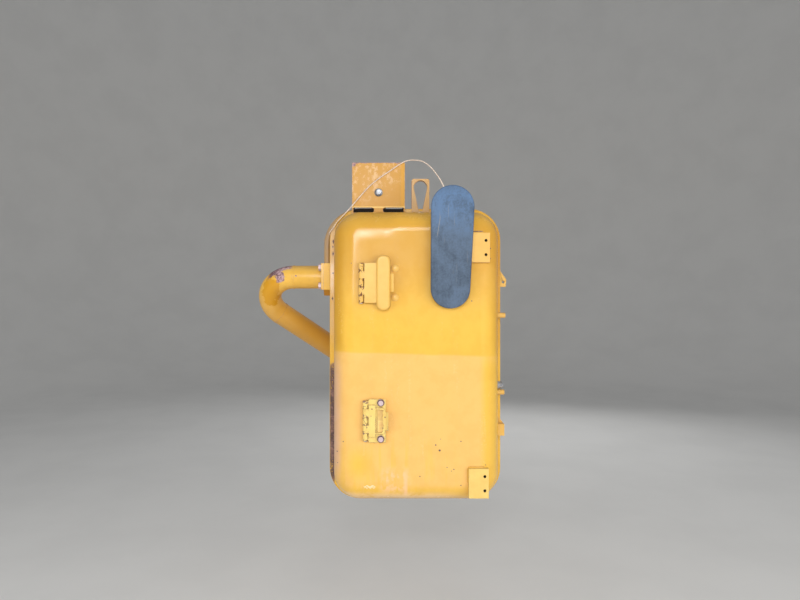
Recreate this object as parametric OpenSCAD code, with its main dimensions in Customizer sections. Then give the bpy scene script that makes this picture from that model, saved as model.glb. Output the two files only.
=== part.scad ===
// Hydraulic oil tank of a heavy haul truck: two drawn shells welded at a seam flange, with gauges,
// hinged gauge guards, breather guard, lifting eye, return pipe and mounting bars.
// The origin is the centre of the rear bolt pattern. +X points to the truck's front, -Y outboard, +Z up.

/* [Tank body] */
// Width of the tank body
tank_w = 596; // [585:1:610]
// Height of the tank body
tank_h = 1040; // [1020:1:1070]
// Depth of the tank body from front face to back face
tank_d = 400; // [385:1:430]
// Thickness of the drawn steel
wall = 5; // [4:0.5:7]
// Radius of the body's four corners, seen from the front
corner_r = 96; // [88:1:104]
// Radius that rolls the front face into the sides
front_edge_r = 75; // [60:1:80]
// Radius that rolls the back face into the sides
back_edge_r = 45; // [35:1:55]
// Distance of the seam behind the front face
seam_depth = 120; // [112:1:130]
// Reach of the seam flange beyond the body
flange_w = 18; // [14:1:22]
// Thickness of each shell's own seam flange
flange_t = 6; // [5:0.5:8]

/* [Rear mounting] */
// Distance of the body's back face from the mounting plane
stand_off = 60; // [50:1:80]
// Length of each mounting bar
bar_len = 480; // [440:5:490]
// Height of each mounting bar
bar_h = 100; // [80:1:130]
// Plate thickness of the mounting bars
bar_t = 8; // [6:0.5:12]
// Sideways distance between the mounting holes
hole_pitch_x = 380; // [320:5:400]
// Upright distance between the mounting holes
hole_pitch_z = 640; // [560:5:700]
// Diameter of the mounting holes
mount_hole_d = 22; // [18:0.5:26]

/* [Pads] */
// Width of a tapped pad
pad_w = 70; // [60:1:80]
// Height of a tapped pad
pad_h = 104; // [90:1:120]
// Height of a pad's face above the front face
pad_proud = 15; // [10:1:20]
// Place of the upper pad's centre, sideways
upper_pad_x = 220; // [200:1:235]
// Place of the upper pad's centre, upright
upper_pad_z = 384; // [360:1:400]
// Place of the lower pad's centre, sideways
lower_pad_x = 216; // [200:1:230]
// Place of the lower pad's centre, upright
lower_pad_z = -444; // [-450:1:-400]
// Distance between a pad's two tapped holes
pad_hole_pitch = 50; // [40:1:60]
// Distance of the tapped holes from the pad's outer edge
pad_hole_inset = 14; // [12:1:20]
// Diameter of the tapped holes
pad_hole_d = 10.2; // [8:0.1:14]
// Depth of the tapped holes
pad_hole_depth = 12; // [8:1:14]

/* [Sight gauges] */
// Distance between the centres of a gauge's two bolts
gauge_pitch = 127; // [120:1:135]
// Width of a gauge's frame
gauge_w = 36; // [34:1:38]
// Thickness of a gauge's frame
gauge_t = 10; // [8:0.5:10.5]
// Width of the gauge glass
glass_w = 24; // [18:0.5:26]
// Length of the gauge glass
glass_len = 92; // [80:1:94]
// Width across the flats of the gauge bolts
bolt_af = 22; // [18:1:24]
// Height of a gauge bolt's head
bolt_head = 8; // [6:0.5:8.5]
// Length of a gauge's frame beyond its two bolts, both ends together
gauge_end = 24; // [20:1:30]
// Place of the upper gauge, sideways
upper_gauge_x = -119; // [-122:1:-112]
// Place of the upper gauge, upright
upper_gauge_z = 260; // [250:1:290]
// Place of the lower gauge, sideways
lower_gauge_x = -128; // [-131:1:-124]
// Place of the lower gauge, upright
lower_gauge_z = -224; // [-240:1:-200]

/* [Gauge guards] */
// Outer diameter of a hinge barrel
barrel_d = 19; // [16:0.5:20]
// Diameter of a hinge pin
hinge_pin_d = 8; // [6:0.5:10]
// Length of a hinge barrel
barrel_len = 140; // [120:1:160]
// Number of knuckles in a hinge barrel
knuckles = 5; // [3:2:7]
// Thickness of a hinge leaf
leaf_t = 3; // [2.5:0.5:4]
// Place of the upper hinge's pin, sideways
upper_hinge_x = -197; // [-200:1:-194]
// Place of the lower hinge's pin, sideways
lower_hinge_x = -182; // [-185:1:-180]
// Width of the raised cover
cover_w = 48; // [46:1:50]
// Height of the raised cover
cover_h = 193; // [186:1:205]
// Height of the raised cover's top above the front face
cover_proud = 28; // [28:1:36]
// Sheet thickness of the raised cover
cover_t = 2; // [1.5:0.5:2.5]
// Gap between the closed cover's rim and the front face
cover_gap = 5; // [5:0.5:7]
// Height of the finger lips
lip_h = 64; // [50:1:70]
// Bend radius of the finger lips
lip_r = 13; // [11:0.5:14]
// Sheet thickness of the upper guard's lip
lip_t = 3; // [2.5:0.5:4]
// Height of the leaf that is left of the lower guard
torn_leaf_h = 113; // [100:1:120]
// Height of the lower hinge's base plate
base_plate_h = 152; // [145:1:160]
// Diameter of the domed stop buttons
stop_d = 26; // [20:1:28]
// Height of the domed stop buttons
stop_h = 7; // [6:0.5:12]
// Distance between the two stop buttons
stop_pitch = 102; // [90:1:116]

/* [Breather guard] */
// Width of the breather guard
box_w = 196; // [186:1:206]
// Height of the breather guard
box_h = 189; // [175:1:205]
// Depth of the breather guard
box_d = 125; // [115:1:135]
// Plate thickness of the breather guard
box_t = 5; // [4:0.5:6]
// Place of the breather guard's centre, sideways
box_x = -136; // [-140:1:-130]
// Distance of the guard's front before the seam
guard_proud = 16; // [14:1:18]
// Height of the two slots at the foot of the guard's front
slot_h = 18; // [12:1:22]
// Width of the neck between the two slots
slot_neck = 33; // [26:1:40]
// Height of the guard's bolt above the tank
guard_bolt_z = 78; // [65:1:90]
// Diameter of the guard's bolt
guard_bolt_d = 12; // [8:0.5:14]
// Width of the post that takes the guard's bolt
post_w = 34; // [28:1:40]
// Height of the post above the guard's bolt
post_over = 18; // [14:1:24]
// Diameter of the filler's neck
neck_d = 56; // [50:1:64]
// Height of the filler's neck
neck_h = 60; // [50:1:66]
// Diameter of the filler's cap
cap_d = 76; // [70:1:82]
// Height of the filler's cap
cap_h = 22; // [16:1:28]

/* [Lifting eye] */
// Width of the lifting eye
eye_w = 66; // [60:1:72]
// Height of the lifting eye above the tank
eye_h = 130; // [120:1:140]
// Thickness of the lifting eye
eye_t = 20; // [18:1:30]
// Place of the lifting eye, sideways
eye_x = 20; // [5:1:35]
// Radius of the round top of the eye's hole
eye_hole_r = 25; // [22:1:26]
// Radius of the narrow foot of the eye's hole
eye_foot_r = 8; // [6:1:10]
// Distance between the hole's round top and its foot
eye_hole_len = 82; // [70:1:86]
// Steel left above the eye's hole
eye_rim = 6; // [5:1:10]

/* [Return pipe] */
// Outer diameter of the return pipe
pipe_d = 88.9; // [76:0.1:90]
// Wall of the return pipe
pipe_t = 4; // [3:0.5:6]
// Bend radius of the return pipe's centre line
pipe_bend_r = 104; // [100:1:110]
// Turn of the bend
pipe_turn = 137; // [135:1:140]
// Lean of the bend's plane away from upright
pipe_lean = 38; // [36:1:40]
// Distance from the port block to the bend
pipe_lead = 112; // [106:1:118]
// Length of the straight leg after the bend
pipe_leg = 300; // [285:1:310]
// Place of the return port, front to back
port_y = -240; // [-248:1:-232]
// Place of the return port, upright
port_z = 289; // [275:1:300]
// Width of the port block, front to back
port_w = 152; // [150:1:160]
// Height of the port block
port_h = 100; // [98:1:106]
// Depth of the chamfered foot below the port block
port_foot = 22; // [15:1:28]
// Reach of the port block from the body's side
port_reach = 45; // [40:1:50]
// Thickness of the pipe's bolted flange
pipe_flange_t = 10; // [8:1:16]
// Distance between the flange's bolts, front to back
flange_pitch_y = 120.7; // [118:0.1:122]
// Distance between the flange's bolts, upright
flange_pitch_z = 69.9; // [68:0.1:71]
// Diameter of the flange's bolts
flange_bolt_d = 16; // [14:1:16]

/* [Vent tube] */
// Outer diameter of the vent tube
vent_d = 24; // [20:1:26]
// Wall of the vent tube
vent_t = 2; // [1.5:0.5:3]
// Bend radius of the vent tube's centre line
vent_bend_r = 129; // [125:1:132]
// Gap between the vent tube and the tank's top
vent_gap = 3; // [2.5:0.5:5]
// Length of the vent tube inside the breather guard
vent_reach = 69; // [50:1:80]

/* [Side and bottom fittings] */
// Reach of the side lugs from the body
lug_reach = 44; // [36:1:50]
// Thickness of the side lugs
lug_t = 10; // [8:0.5:14]
// Diameter of the hole in the upper side lug
lug_hole_d = 9; // [7:0.5:11]
// Bore of the suction port
suction_d = 102; // [90:1:105]
// Outer diameter of the suction port's neck
suction_neck_d = 116; // [114:1:120]
// Height of the suction port below the tank
suction_h = 26; // [22:1:32]
// Outer diameter of the suction port's pad
suction_pad_d = 134; // [128:1:144]
// Place of the suction port, sideways
suction_x = 80; // [60:5:100]
// Distance of the suction port and the drain behind the seam
suction_behind = 170; // [150:5:180]
// Place of the drain plug, sideways
drain_x = -150; // [-180:5:-120]
// Foot of the upper side lug, upright
upper_lug_z = 249; // [235:1:260]
// Foot of the lower side lug, upright
lower_lug_z = -296; // [-310:1:-285]
// Reach of the lower side lug
lower_lug_reach = 26; // [22:1:34]
// Place of the level port, upright
level_port_z = 144; // [120:1:160]
// Place of the temperature sender, upright
sender_z = -112; // [-115:1:-100]
// Place of the sample port, upright
sample_port_z = -138; // [-160:1:-136]

/* [Hanging pad] */
// Width of the hanging rubber pad at its top
rubber_w = 152; // [145:1:158]
// Width of the rubber pad at its bottom
rubber_foot_w = 138; // [130:1:145]
// Length of the rubber pad
rubber_len = 432; // [425:1:436]
// Thickness of the rubber pad
rubber_t = 12; // [10:0.5:14]
// Diameter of the pad's steel wire
wire_d = 4; // [3.5:0.1:4.2]

/* [Hidden] */
$fn = 64;
seat_gap = 0.3;
leaf_gap = 0.5;
pin_fit = 0.05;
front_y = -(stand_off + tank_d);
seam_y = front_y + seam_depth;
back_y = -stand_off;
half_w = tank_w / 2;
half_h = tank_h / 2;
flange_top = half_h + flange_w;

gauge_depth = 6;
washer_t = 2.5;
washer_d = bolt_af + 4;
run_gap = 5;
barrel_r = barrel_d / 2;
hinge_y = front_y - barrel_r - 1;
leaf_y = hinge_y - barrel_r;
knuckle_len = barrel_len / knuckles;
cover_x = upper_gauge_x;
cover_edge_r = 8;
cover_corner_r = cover_w / 2 - 2;
base_y = front_y - gauge_t;
upper_leaf_w = cover_x - cover_w / 2 - upper_hinge_x;
torn_h = gauge_pitch - washer_d - 2 * run_gap;
torn_x = -19.5;
window_x = -18.5;
window_h = torn_h - 10;
// The lower guard's edges where its cover tore away, from the gauge's centre: x, share of the half height
torn_edge = [[11, -1], [15, -0.85], [15, 0.85], [9, 1]];
window_edge = [[4, -1], [8, -0.8], [5, -0.6], [10, -0.4], [6, -0.15], [9, 0.1], [5, 0.32],
    [9, 0.55], [6, 0.75], [10, 0.92], [3, 1]];

box_front_y = seam_y - guard_proud;
box_left = box_x - box_w / 2;
box_top = half_h + box_h;
filler_y = seam_y + 52;
port_x = -half_w - port_reach;
pipe_x = port_x - pipe_flange_t;
bolt_hole_d = flange_bolt_d;
weld_w = 6;
weld_t = 1.2;
vent_x = port_x + vent_d / 2 + 1;
vent_y = port_y - port_w / 2 + vent_d / 2 + 1;
vent_top = half_h + vent_gap + vent_d / 2;
suction_y = seam_y + suction_behind;
fitting_y = seam_y - 32;
rubber_y = front_y - pad_proud - seat_gap;
rubber_x = 123.5;
rubber_top = 602;
rubber_tilt = 1.6;
rubber_reach = rubber_len - rubber_w / 2 - rubber_foot_w / 2;

// Route of the pad's wire, from the pad over the breather guard's corner to the vent tube
wire_route = [
    [98, -481, 580], [92, -481, 596], [82, -475, 619], [70, -464, 641], [51, -444, 671],
    [28, -420, 696], [7, -400, 707], [-17, -377, 713], [-38, -361, 712], [-62, -360, 699],
    [-94, -360, 677], [-131, -360, 652], [-168, -360, 622], [-205, -360, 582], [-227, -360, 556],
    [-260, -360, 519], [-286, -359, 492], [-300, -357, 472], [-311, -351, 459], [-318, -341, 451],
    [-319, -330, 446], [-315, -319, 441], [-311, -308, 437], [-311, -298, 434], [-317, -289, 432],
    [-327, -286, 430], [-337, -290, 429], [-343, -298, 428], [-343, -306, 427]
];

paint = "#e3a93c";
pale_paint = "#f0bd62";
worn_steel = "#8b8681";
zinc = "#c9cbc9";
rubber = "#4d5663";

// The web between two circles, one below the other, out to their outer tangents
module tangent_web(top_r, foot_r, dist) {
    lean = -asin((top_r - foot_r) / dist);
    side = [cos(lean), sin(lean)];
    polygon([
        [top_r * side.x, top_r * side.y], [foot_r * side.x, foot_r * side.y - dist],
        [-foot_r * side.x, foot_r * side.y - dist], [-top_r * side.x, top_r * side.y]
    ]);
}

module tangent_plate(top_r, foot_r, dist) {
    circle(top_r);
    translate([0, -dist]) circle(foot_r);
    tangent_web(top_r, foot_r, dist);
}

// A slot with round ends, centred and upright
module slot_2d(w, len) {
    translate([0, (len - w) / 2]) tangent_plate(w / 2, w / 2, len - w);
}

// Carries a section round a rounded rectangle: x is the distance from the corner's centre
module round_sweep(w, h, r) {
    for (corner = [[1, 1, 0], [-1, 1, 90], [-1, -1, 180], [1, -1, 270]])
        translate([corner[0] * (w / 2 - r), corner[1] * (h / 2 - r), 0])
            rotate([0, 0, corner[2]])
                rotate_extrude(angle = 90) children();
    for (turn = [0, 180])
        rotate([0, 0, turn]) translate([w / 2 - r, h / 2 - r, 0])
            rotate([90, 0, 0]) linear_extrude(h - 2 * r) children();
    for (turn = [90, 270])
        rotate([0, 0, turn]) translate([h / 2 - r, w / 2 - r, 0])
            rotate([90, 0, 0]) linear_extrude(w - 2 * r) children();
}

// Section of a drawn pan: side wall, rolled edge and face
module pan_section(depth, r, edge, t) {
    translate([r - t, 0]) square([t, depth - edge]);
    translate([r - edge, depth - edge]) intersection() {
        difference() {
            circle(edge);
            circle(edge - t);
        }
        square(edge);
    }
    translate([0, depth - t]) square([r - edge, t]);
}

// Section of the same pan filled in
module form_section(depth, r, edge) {
    square([r, depth - edge]);
    square([r - edge, depth]);
    translate([r - edge, depth - edge]) intersection() {
        circle(edge);
        square(edge);
    }
}

// A drawn pan that opens downwards, its face at z = depth, with a flange round its mouth
module pan(w, h, r, depth, edge, t, lip_w, lip_t) {
    round_sweep(w, h, r) {
        union() {
            pan_section(depth, r, edge, t);
            if (lip_w > 0) translate([r - t, 0]) square([t + lip_w, lip_t]);
        }
    }
    translate([r - w / 2, r - h / 2, depth - t]) cube([w - 2 * r, h - 2 * r, t]);
}

// The front half's outer form, for pieces that are fitted to it
module front_form() {
    translate([0, seam_y, 0]) rotate([90, 0, 0]) {
        round_sweep(tank_w, tank_h, corner_r) form_section(seam_depth, corner_r, front_edge_r);
        translate([corner_r - half_w, corner_r - half_h, 0])
            cube([tank_w - 2 * corner_r, tank_h - 2 * corner_r, seam_depth]);
    }
}

// A plate drawn as seen from the front, its back face at y, growing outboard
module front_plate(y, t) {
    translate([0, y, 0]) rotate([90, 0, 0]) linear_extrude(t) children();
}

// A round bar along Y, from y outboard
module front_rod(x, y, z, d, len) {
    translate([x, y, z]) rotate([90, 0, 0]) cylinder(d = d, h = len);
}

// A hexagon bolt head that faces outboard, on its washer
module front_bolt(x, y, z, af, head, washer) {
    front_rod(x, y, z, washer, washer_t);
    translate([x, y - washer_t, z]) rotate([90, 0, 0]) cylinder(d = af / cos(30), h = head, $fn = 6);
}

module front_shell() color(pale_paint) {
    translate([0, seam_y, 0]) rotate([90, 0, 0])
        pan(tank_w, tank_h, corner_r, seam_depth, front_edge_r, wall, flange_w, flange_t);
}

module rear_shell() color(paint) {
    difference() {
        translate([0, seam_y, 0]) rotate([-90, 0, 0])
            pan(tank_w, tank_h, corner_r, tank_d - seam_depth, back_edge_r, wall, flange_w, flange_t);
        translate([-half_w - wall, port_y, port_z]) rotate([0, 90, 0])
            cylinder(d = pipe_d - 2 * pipe_t, h = 3 * wall);
        translate([suction_x, suction_y, -half_h - wall]) cylinder(d = suction_d - 2 * wall, h = 3 * wall);
    }
}

// A channel whose web lies on the mounting plane and whose flanges stand on the back face
module mount_bar(z) {
    difference() {
        translate([-bar_len / 2, back_y, z - bar_h / 2]) cube([bar_len, stand_off, bar_h]);
        translate([-bar_len / 2 - 1, back_y - bar_t, z - bar_h / 2 + bar_t])
            cube([bar_len + 2, stand_off, bar_h - 2 * bar_t]);
        for (side = [-1, 1])
            front_rod(side * hole_pitch_x / 2, 1, z, mount_hole_d, bar_t + 2);
    }
}

module upper_mount_bar() color(paint) mount_bar(hole_pitch_z / 2);
module lower_mount_bar() color(paint) mount_bar(-hole_pitch_z / 2);

// A tapped pad, cut to the tank's rolled edge where it overhangs it
module tapped_pad(x, z) {
    difference() {
        translate([x - pad_w / 2, front_y - pad_proud, z - pad_h / 2])
            cube([pad_w, pad_proud + front_edge_r, pad_h]);
        front_form();
        for (side = [-1, 1])
            front_rod(x + pad_w / 2 - pad_hole_inset, front_y - pad_proud + pad_hole_depth,
                z + side * pad_hole_pitch / 2, pad_hole_d, pad_hole_depth + 1);
    }
}

module upper_pad() color(paint) tapped_pad(upper_pad_x, upper_pad_z);
module lower_pad() color(paint) tapped_pad(lower_pad_x, lower_pad_z);

// A sight gauge's frame with its recess for the glass
module gauge(x, z) {
    difference() {
        translate([x, 0, z]) front_plate(front_y, gauge_t) slot_2d(gauge_w, gauge_pitch + gauge_end);
        translate([x, 0, z]) front_plate(base_y + gauge_depth, gauge_depth + 1) slot_2d(glass_w, glass_len);
    }
}

// A gauge's two bolts, seated at y
module gauge_bolts(x, y, z) {
    for (side = [-1, 1])
        front_bolt(x, y, z + side * gauge_pitch / 2, bolt_af, bolt_head, washer_d);
}

module gauge_glass(x, z) {
    w = glass_w - 2 * seat_gap;
    reach = (glass_len - glass_w) / 2;
    y = base_y + gauge_depth;
    for (side = [-1, 1])
        front_rod(x, y, z + side * reach, w, gauge_depth);
    translate([x - w / 2, y - gauge_depth, z - reach]) cube([w, gauge_depth, 2 * reach]);
}

module upper_gauge() color(paint) gauge(upper_gauge_x, upper_gauge_z);
module lower_gauge() color(paint) gauge(lower_gauge_x, lower_gauge_z);
module upper_gauge_bolts() color(worn_steel) gauge_bolts(upper_gauge_x, base_y, upper_gauge_z);
module lower_gauge_bolts() color(worn_steel) gauge_bolts(lower_gauge_x, base_y - leaf_t, lower_gauge_z);
module upper_glass() color("#d8a860") gauge_glass(upper_gauge_x, upper_gauge_z);
module lower_glass() color("#d8a860") gauge_glass(lower_gauge_x, lower_gauge_z);

// The knuckles of one leaf: first is 0 for the fixed leaf and 1 for the moving one
module knuckle_row(x, z, first) {
    for (i = [first : 2 : knuckles - 1])
        translate([x, hinge_y, z - barrel_len / 2 + i * knuckle_len + leaf_gap / 2])
            cylinder(r = barrel_r, h = knuckle_len - leaf_gap);
}

module pin_hole(x, z) {
    translate([x, hinge_y, z - barrel_len / 2 - 1])
        cylinder(r = hinge_pin_d / 2 + pin_fit, h = barrel_len + 2);
}

// The fixed leaf stands on y, with a tongue at each of its knuckles
module fixed_hinge(x, y, z, leaf_w, leaf_h) {
    foot = z - barrel_len / 2 + leaf_gap / 2;
    difference() {
        union() {
            knuckle_row(x, z, 0);
            for (i = [0 : 2 : knuckles - 1])
                translate([x - barrel_r / 2, y - leaf_t, foot + i * knuckle_len])
                    cube([barrel_d, leaf_t, knuckle_len - leaf_gap]);
            translate([x + barrel_r + 2, y - leaf_t, z - leaf_h / 2]) cube([leaf_w, leaf_t, leaf_h]);
        }
        pin_hole(x, z);
    }
}

// The moving leaf, tangent to the outboard side of its knuckles
module moving_leaf(x, z, leaf_w, leaf_h) {
    difference() {
        union() {
            knuckle_row(x, z, 1);
            for (i = [1 : 2 : knuckles - 1])
                translate([x, leaf_y, z - barrel_len / 2 + i * knuckle_len + leaf_gap / 2])
                    cube([barrel_d, leaf_t, knuckle_len - leaf_gap]);
            translate([x + barrel_r + 2, leaf_y, z - leaf_h / 2])
                cube([leaf_w - barrel_r - 2, leaf_t, leaf_h]);
        }
        pin_hole(x, z);
    }
}

// A quarter of a tube wall in one corner of the plane
module quarter_curl(r, t, corner) {
    intersection() {
        difference() {
            circle(r);
            circle(r - t);
        }
        translate([min(corner.x, 0) * r, min(corner.y, 0) * r]) square(r);
    }
}

// An outward curl of the leaf's free edge
module finger_lip(x, z, len, t) {
    translate([x, leaf_y - lip_r + leaf_t, z - len / 2]) linear_extrude(len) quarter_curl(lip_r, t, [1, 1]);
}

// A sheet that stands up along the cover's side and flares away from it
module pull_lip(x, z) {
    root_y = front_y - cover_proud + cover_edge_r + 2;
    translate([x, root_y, z - lip_h / 2]) cube([lip_t, 6, lip_h]);
    translate([x + lip_r, root_y, z - lip_h / 2]) linear_extrude(lip_h) quarter_curl(lip_r, lip_t, [-1, -1]);
}

module hinge_pin(x, z) {
    head_h = 3;
    translate([x, hinge_y, z - barrel_len / 2 - head_h]) cylinder(d = hinge_pin_d, h = barrel_len + head_h);
    translate([x, hinge_y, z - barrel_len / 2 - head_h]) cylinder(d = hinge_pin_d + 4, h = head_h - leaf_gap);
}

module upper_hinge() color(paint)
    fixed_hinge(upper_hinge_x, front_y, upper_gauge_z, upper_leaf_w - barrel_d - 10, barrel_len);

// The lower hinge's base plate lies on the gauge, under its bolts, and is open over the glass
module lower_hinge() color(paint) difference() {
    fixed_hinge(lower_hinge_x, base_y, lower_gauge_z,
        lower_gauge_x + gauge_w / 2 - lower_hinge_x - barrel_r - 2, base_plate_h);
    translate([lower_gauge_x, 0, lower_gauge_z]) front_plate(base_y + 1, leaf_t + 2)
        slot_2d(glass_w + 4, glass_len + 4);
}

module upper_hinge_pin() color(worn_steel) hinge_pin(upper_hinge_x, upper_gauge_z);
module lower_hinge_pin() color(worn_steel) hinge_pin(lower_hinge_x, lower_gauge_z);

module upper_guard() color(paint) {
    moving_leaf(upper_hinge_x, upper_gauge_z, upper_leaf_w + cover_t, barrel_len);
    translate([cover_x, front_y - cover_gap, upper_gauge_z]) rotate([90, 0, 0])
        pan(cover_w, cover_h, cover_corner_r, cover_proud - cover_gap, cover_edge_r, cover_t, 0, 0);
    pull_lip(cover_x + cover_w / 2 - cover_t / 2, upper_gauge_z);
}

// The lower guard has lost its raised cover: its leaf, a torn window frame and a lip are left
module lower_guard() color(paint) {
    moving_leaf(lower_hinge_x, lower_gauge_z, lower_gauge_x + torn_x + 1 - lower_hinge_x, torn_leaf_h);
    translate([lower_gauge_x, 0, lower_gauge_z]) front_plate(leaf_y + leaf_t, leaf_t) difference() {
        polygon(concat([[torn_x, torn_h / 2], [torn_x, -torn_h / 2]],
            [for (p = torn_edge) [p.x, p.y * torn_h / 2]]));
        polygon(concat([[window_x, window_h / 2], [window_x, -window_h / 2]],
            [for (p = window_edge) [p.x, p.y * window_h / 2]]));
    }
    finger_lip(lower_gauge_x + torn_edge[1].x - leaf_t / 2, lower_gauge_z, lip_h, leaf_t);
}

// Two domed buttons beside the upper guard's free edge
module guard_stops() color(paint) {
    stop_x = cover_x + cover_w / 2 + lip_r + stop_d / 2 - 8;
    for (side = [-1, 1])
        translate([stop_x, front_y, upper_gauge_z + side * stop_pitch / 2]) rotate([90, 0, 0]) intersection() {
            cylinder(d = stop_d, h = stop_h);
            translate([0, 0, stop_h - stop_d]) sphere(r = stop_d);
        }
}

// The guard over the filler: front plate between two side plates, under a top plate
module breather_guard() color(paint) {
    notch = [flange_t * 2 + 6, flange_w + 3];
    difference() {
        union() {
            for (x = [box_left, box_left + box_w - box_t])
                translate([x, box_front_y, half_h]) cube([box_t, box_d, box_h]);
            translate([box_left, box_front_y, box_top - box_t]) cube([box_w, box_d, box_t]);
            translate([box_left, box_front_y, half_h]) cube([box_w, box_t, box_h]);
        }
        for (side = [-1, 1])
            front_slot(side);
        translate([box_left - 1, seam_y - notch.x / 2, half_h - 1]) cube([box_w + 2, notch.x, notch.y + 1]);
        vent_run() circle(d = vent_d + 2 * seat_gap);
        front_rod(box_x, box_front_y + box_t + 1, half_h + guard_bolt_z, guard_bolt_d + 0.5, box_t + 2);
    }
}

// One slot at the foot of the guard's front, round at its inner end
module front_slot(side) {
    slot_len = box_w / 2 - box_t - slot_neck / 2;
    translate([box_x + side * slot_neck / 2, 0, half_h + slot_h / 2 + 4])
        front_plate(box_front_y + box_t + 1, box_t + 2) {
            translate([side * slot_h / 2, 0]) circle(slot_h / 2);
            translate([side > 0 ? slot_h / 2 : -slot_len, -slot_h / 2])
                square([slot_len - slot_h / 2, slot_h]);
        }
}

// The upright that takes the guard's bolt, welded on the seam flange
module guard_post() color(paint) {
    post_y = box_front_y + box_t;
    post_depth = seam_y + flange_t - post_y;
    difference() {
        translate([box_x - post_w / 2, post_y, flange_top])
            cube([post_w, post_depth, guard_bolt_z - flange_w + post_over]);
        front_rod(box_x, seam_y + flange_t + 1, half_h + guard_bolt_z, guard_bolt_d, post_depth + 2);
    }
}

module guard_bolt() color(zinc) {
    bolt_len = box_t + 12;
    front_bolt(box_x, box_front_y, half_h + guard_bolt_z, 1.6 * guard_bolt_d, 0.65 * guard_bolt_d,
        2.5 * guard_bolt_d);
    front_rod(box_x, box_front_y + bolt_len, half_h + guard_bolt_z, guard_bolt_d - 2 * pin_fit, bolt_len);
}

// Filler neck and cap under the guard
module filler_cap() color(worn_steel) translate([box_x, filler_y, half_h]) rotate_extrude() {
    square([neck_d / 2, neck_h]);
    translate([0, neck_h]) square([cap_d / 2, cap_h]);
    translate([0, neck_h + cap_h]) square([cap_d / 2 - 8, 6]);
}

// The lifting eye straddles the seam flange and stands on the tank
module lifting_eye() color(paint) {
    corner = 8;
    difference() {
        translate([eye_x, 0, half_h]) front_plate(seam_y + eye_t / 2, eye_t) difference() {
            union() {
                translate([-eye_w / 2, 0]) square([eye_w, eye_h - corner]);
                translate([-eye_w / 2 + corner, 0]) square([eye_w - 2 * corner, eye_h]);
                for (side = [-1, 1])
                    translate([side * (eye_w / 2 - corner), eye_h - corner]) circle(corner);
            }
            translate([0, eye_h - eye_rim - eye_hole_r]) tangent_plate(eye_hole_r, eye_foot_r, eye_hole_len);
        }
        translate([eye_x - eye_w, seam_y - flange_t, half_h - 1])
            cube([2 * eye_w, 2 * flange_t, flange_w + 1]);
    }
}

// Sets its children at the flange's four bolts, x along the port's axis
module at_flange_bolts(x) {
    for (side = [-1, 1], level = [-1, 1])
        translate([x, port_y + side * flange_pitch_y / 2, port_z + level * flange_pitch_z / 2])
            rotate([0, 90, 0]) children();
}

// The return port's block with its chamfered foot, bored through to the tank
module port_block() color(paint) {
    difference() {
        translate([port_x, port_y, port_z]) rotate([90, 0, 90]) linear_extrude(port_reach) polygon([
            [-port_w / 2, port_h / 2], [-port_w / 2, -port_h / 2],
            [port_foot - port_w / 2, -port_h / 2 - port_foot],
            [port_w / 2 - port_foot, -port_h / 2 - port_foot],
            [port_w / 2, -port_h / 2], [port_w / 2, port_h / 2]
        ]);
        translate([port_x - 1, port_y, port_z]) rotate([0, 90, 0])
            cylinder(d = pipe_d - 2 * pipe_t, h = port_reach + 2);
        at_flange_bolts(port_x - 1) cylinder(d = bolt_hole_d, h = 1.5 * flange_bolt_d + 2);
    }
}

// A tube's section
module tube_2d(d, t) {
    difference() {
        circle(d = d);
        circle(d = d - 2 * t);
    }
}

// A weld between two lengths of the pipe, which both end inside it
module pipe_weld() {
    translate([0, 0, -weld_w / 2]) linear_extrude(weld_w) tube_2d(pipe_d + 2 * weld_t, pipe_t + 2 * weld_t);
}

// The run of the return pipe: out of the flange, round the bend and down its leg
module pipe_run() {
    root = weld_w / 6;
    root_turn = root / pipe_bend_r * 180 / PI;
    translate([pipe_x + root, port_y, port_z]) rotate([0, -90, 0])
        linear_extrude(pipe_lead) tube_2d(pipe_d, pipe_t);
    translate([pipe_x - pipe_lead, port_y, port_z]) rotate([0, 90, 0]) pipe_weld();
    translate([pipe_x - pipe_lead, port_y, port_z]) rotate([pipe_lean, 0, 0]) translate([0, 0, -pipe_bend_r])
        rotate([90, 0, 0]) {
            rotate([0, 0, 90 + root_turn]) rotate_extrude(angle = pipe_turn - 2 * root_turn)
                translate([pipe_bend_r, 0]) tube_2d(pipe_d, pipe_t);
            rotate([0, 0, 90 + pipe_turn]) translate([pipe_bend_r, 0, 0]) rotate([-90, 0, 0]) {
                pipe_weld();
                translate([0, 0, root]) linear_extrude(pipe_leg - root) tube_2d(pipe_d, pipe_t);
            }
        }
}

module return_pipe() color(paint) {
    pipe_run();
    difference() {
        translate([pipe_x, port_y - port_w / 2, port_z - port_h / 2]) cube([pipe_flange_t, port_w, port_h]);
        translate([pipe_x - 1, port_y, port_z]) rotate([0, 90, 0])
            cylinder(d = pipe_d - 2 * pipe_t - 2 * weld_t, h = pipe_flange_t + 2);
        at_flange_bolts(pipe_x - 1) cylinder(d = bolt_hole_d, h = pipe_flange_t + 2);
    }
}

module flange_bolts() color(worn_steel) {
    head_h = 0.65 * flange_bolt_d;
    at_flange_bolts(pipe_x) {
        translate([0, 0, -head_h]) cylinder(d = 1.5 * flange_bolt_d / cos(30), h = head_h, $fn = 6);
        cylinder(d = bolt_hole_d - 2 * pin_fit, h = pipe_flange_t + 1.5 * flange_bolt_d);
    }
}

// Carries a section up from the port block, round the tank's corner and into the breather guard
module vent_run() {
    foot_z = port_z + port_h / 2;
    bend_x = vent_x + vent_bend_r;
    bend_z = vent_top - vent_bend_r;
    translate([vent_x, vent_y, foot_z]) linear_extrude(bend_z - foot_z) children();
    translate([bend_x, vent_y, bend_z]) rotate([90, 0, 0]) rotate([0, 0, 90]) rotate_extrude(angle = 90)
        translate([vent_bend_r, 0]) children();
    translate([bend_x, vent_y, vent_top]) rotate([0, 90, 0])
        linear_extrude(box_left + vent_reach - bend_x) children();
}

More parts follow.
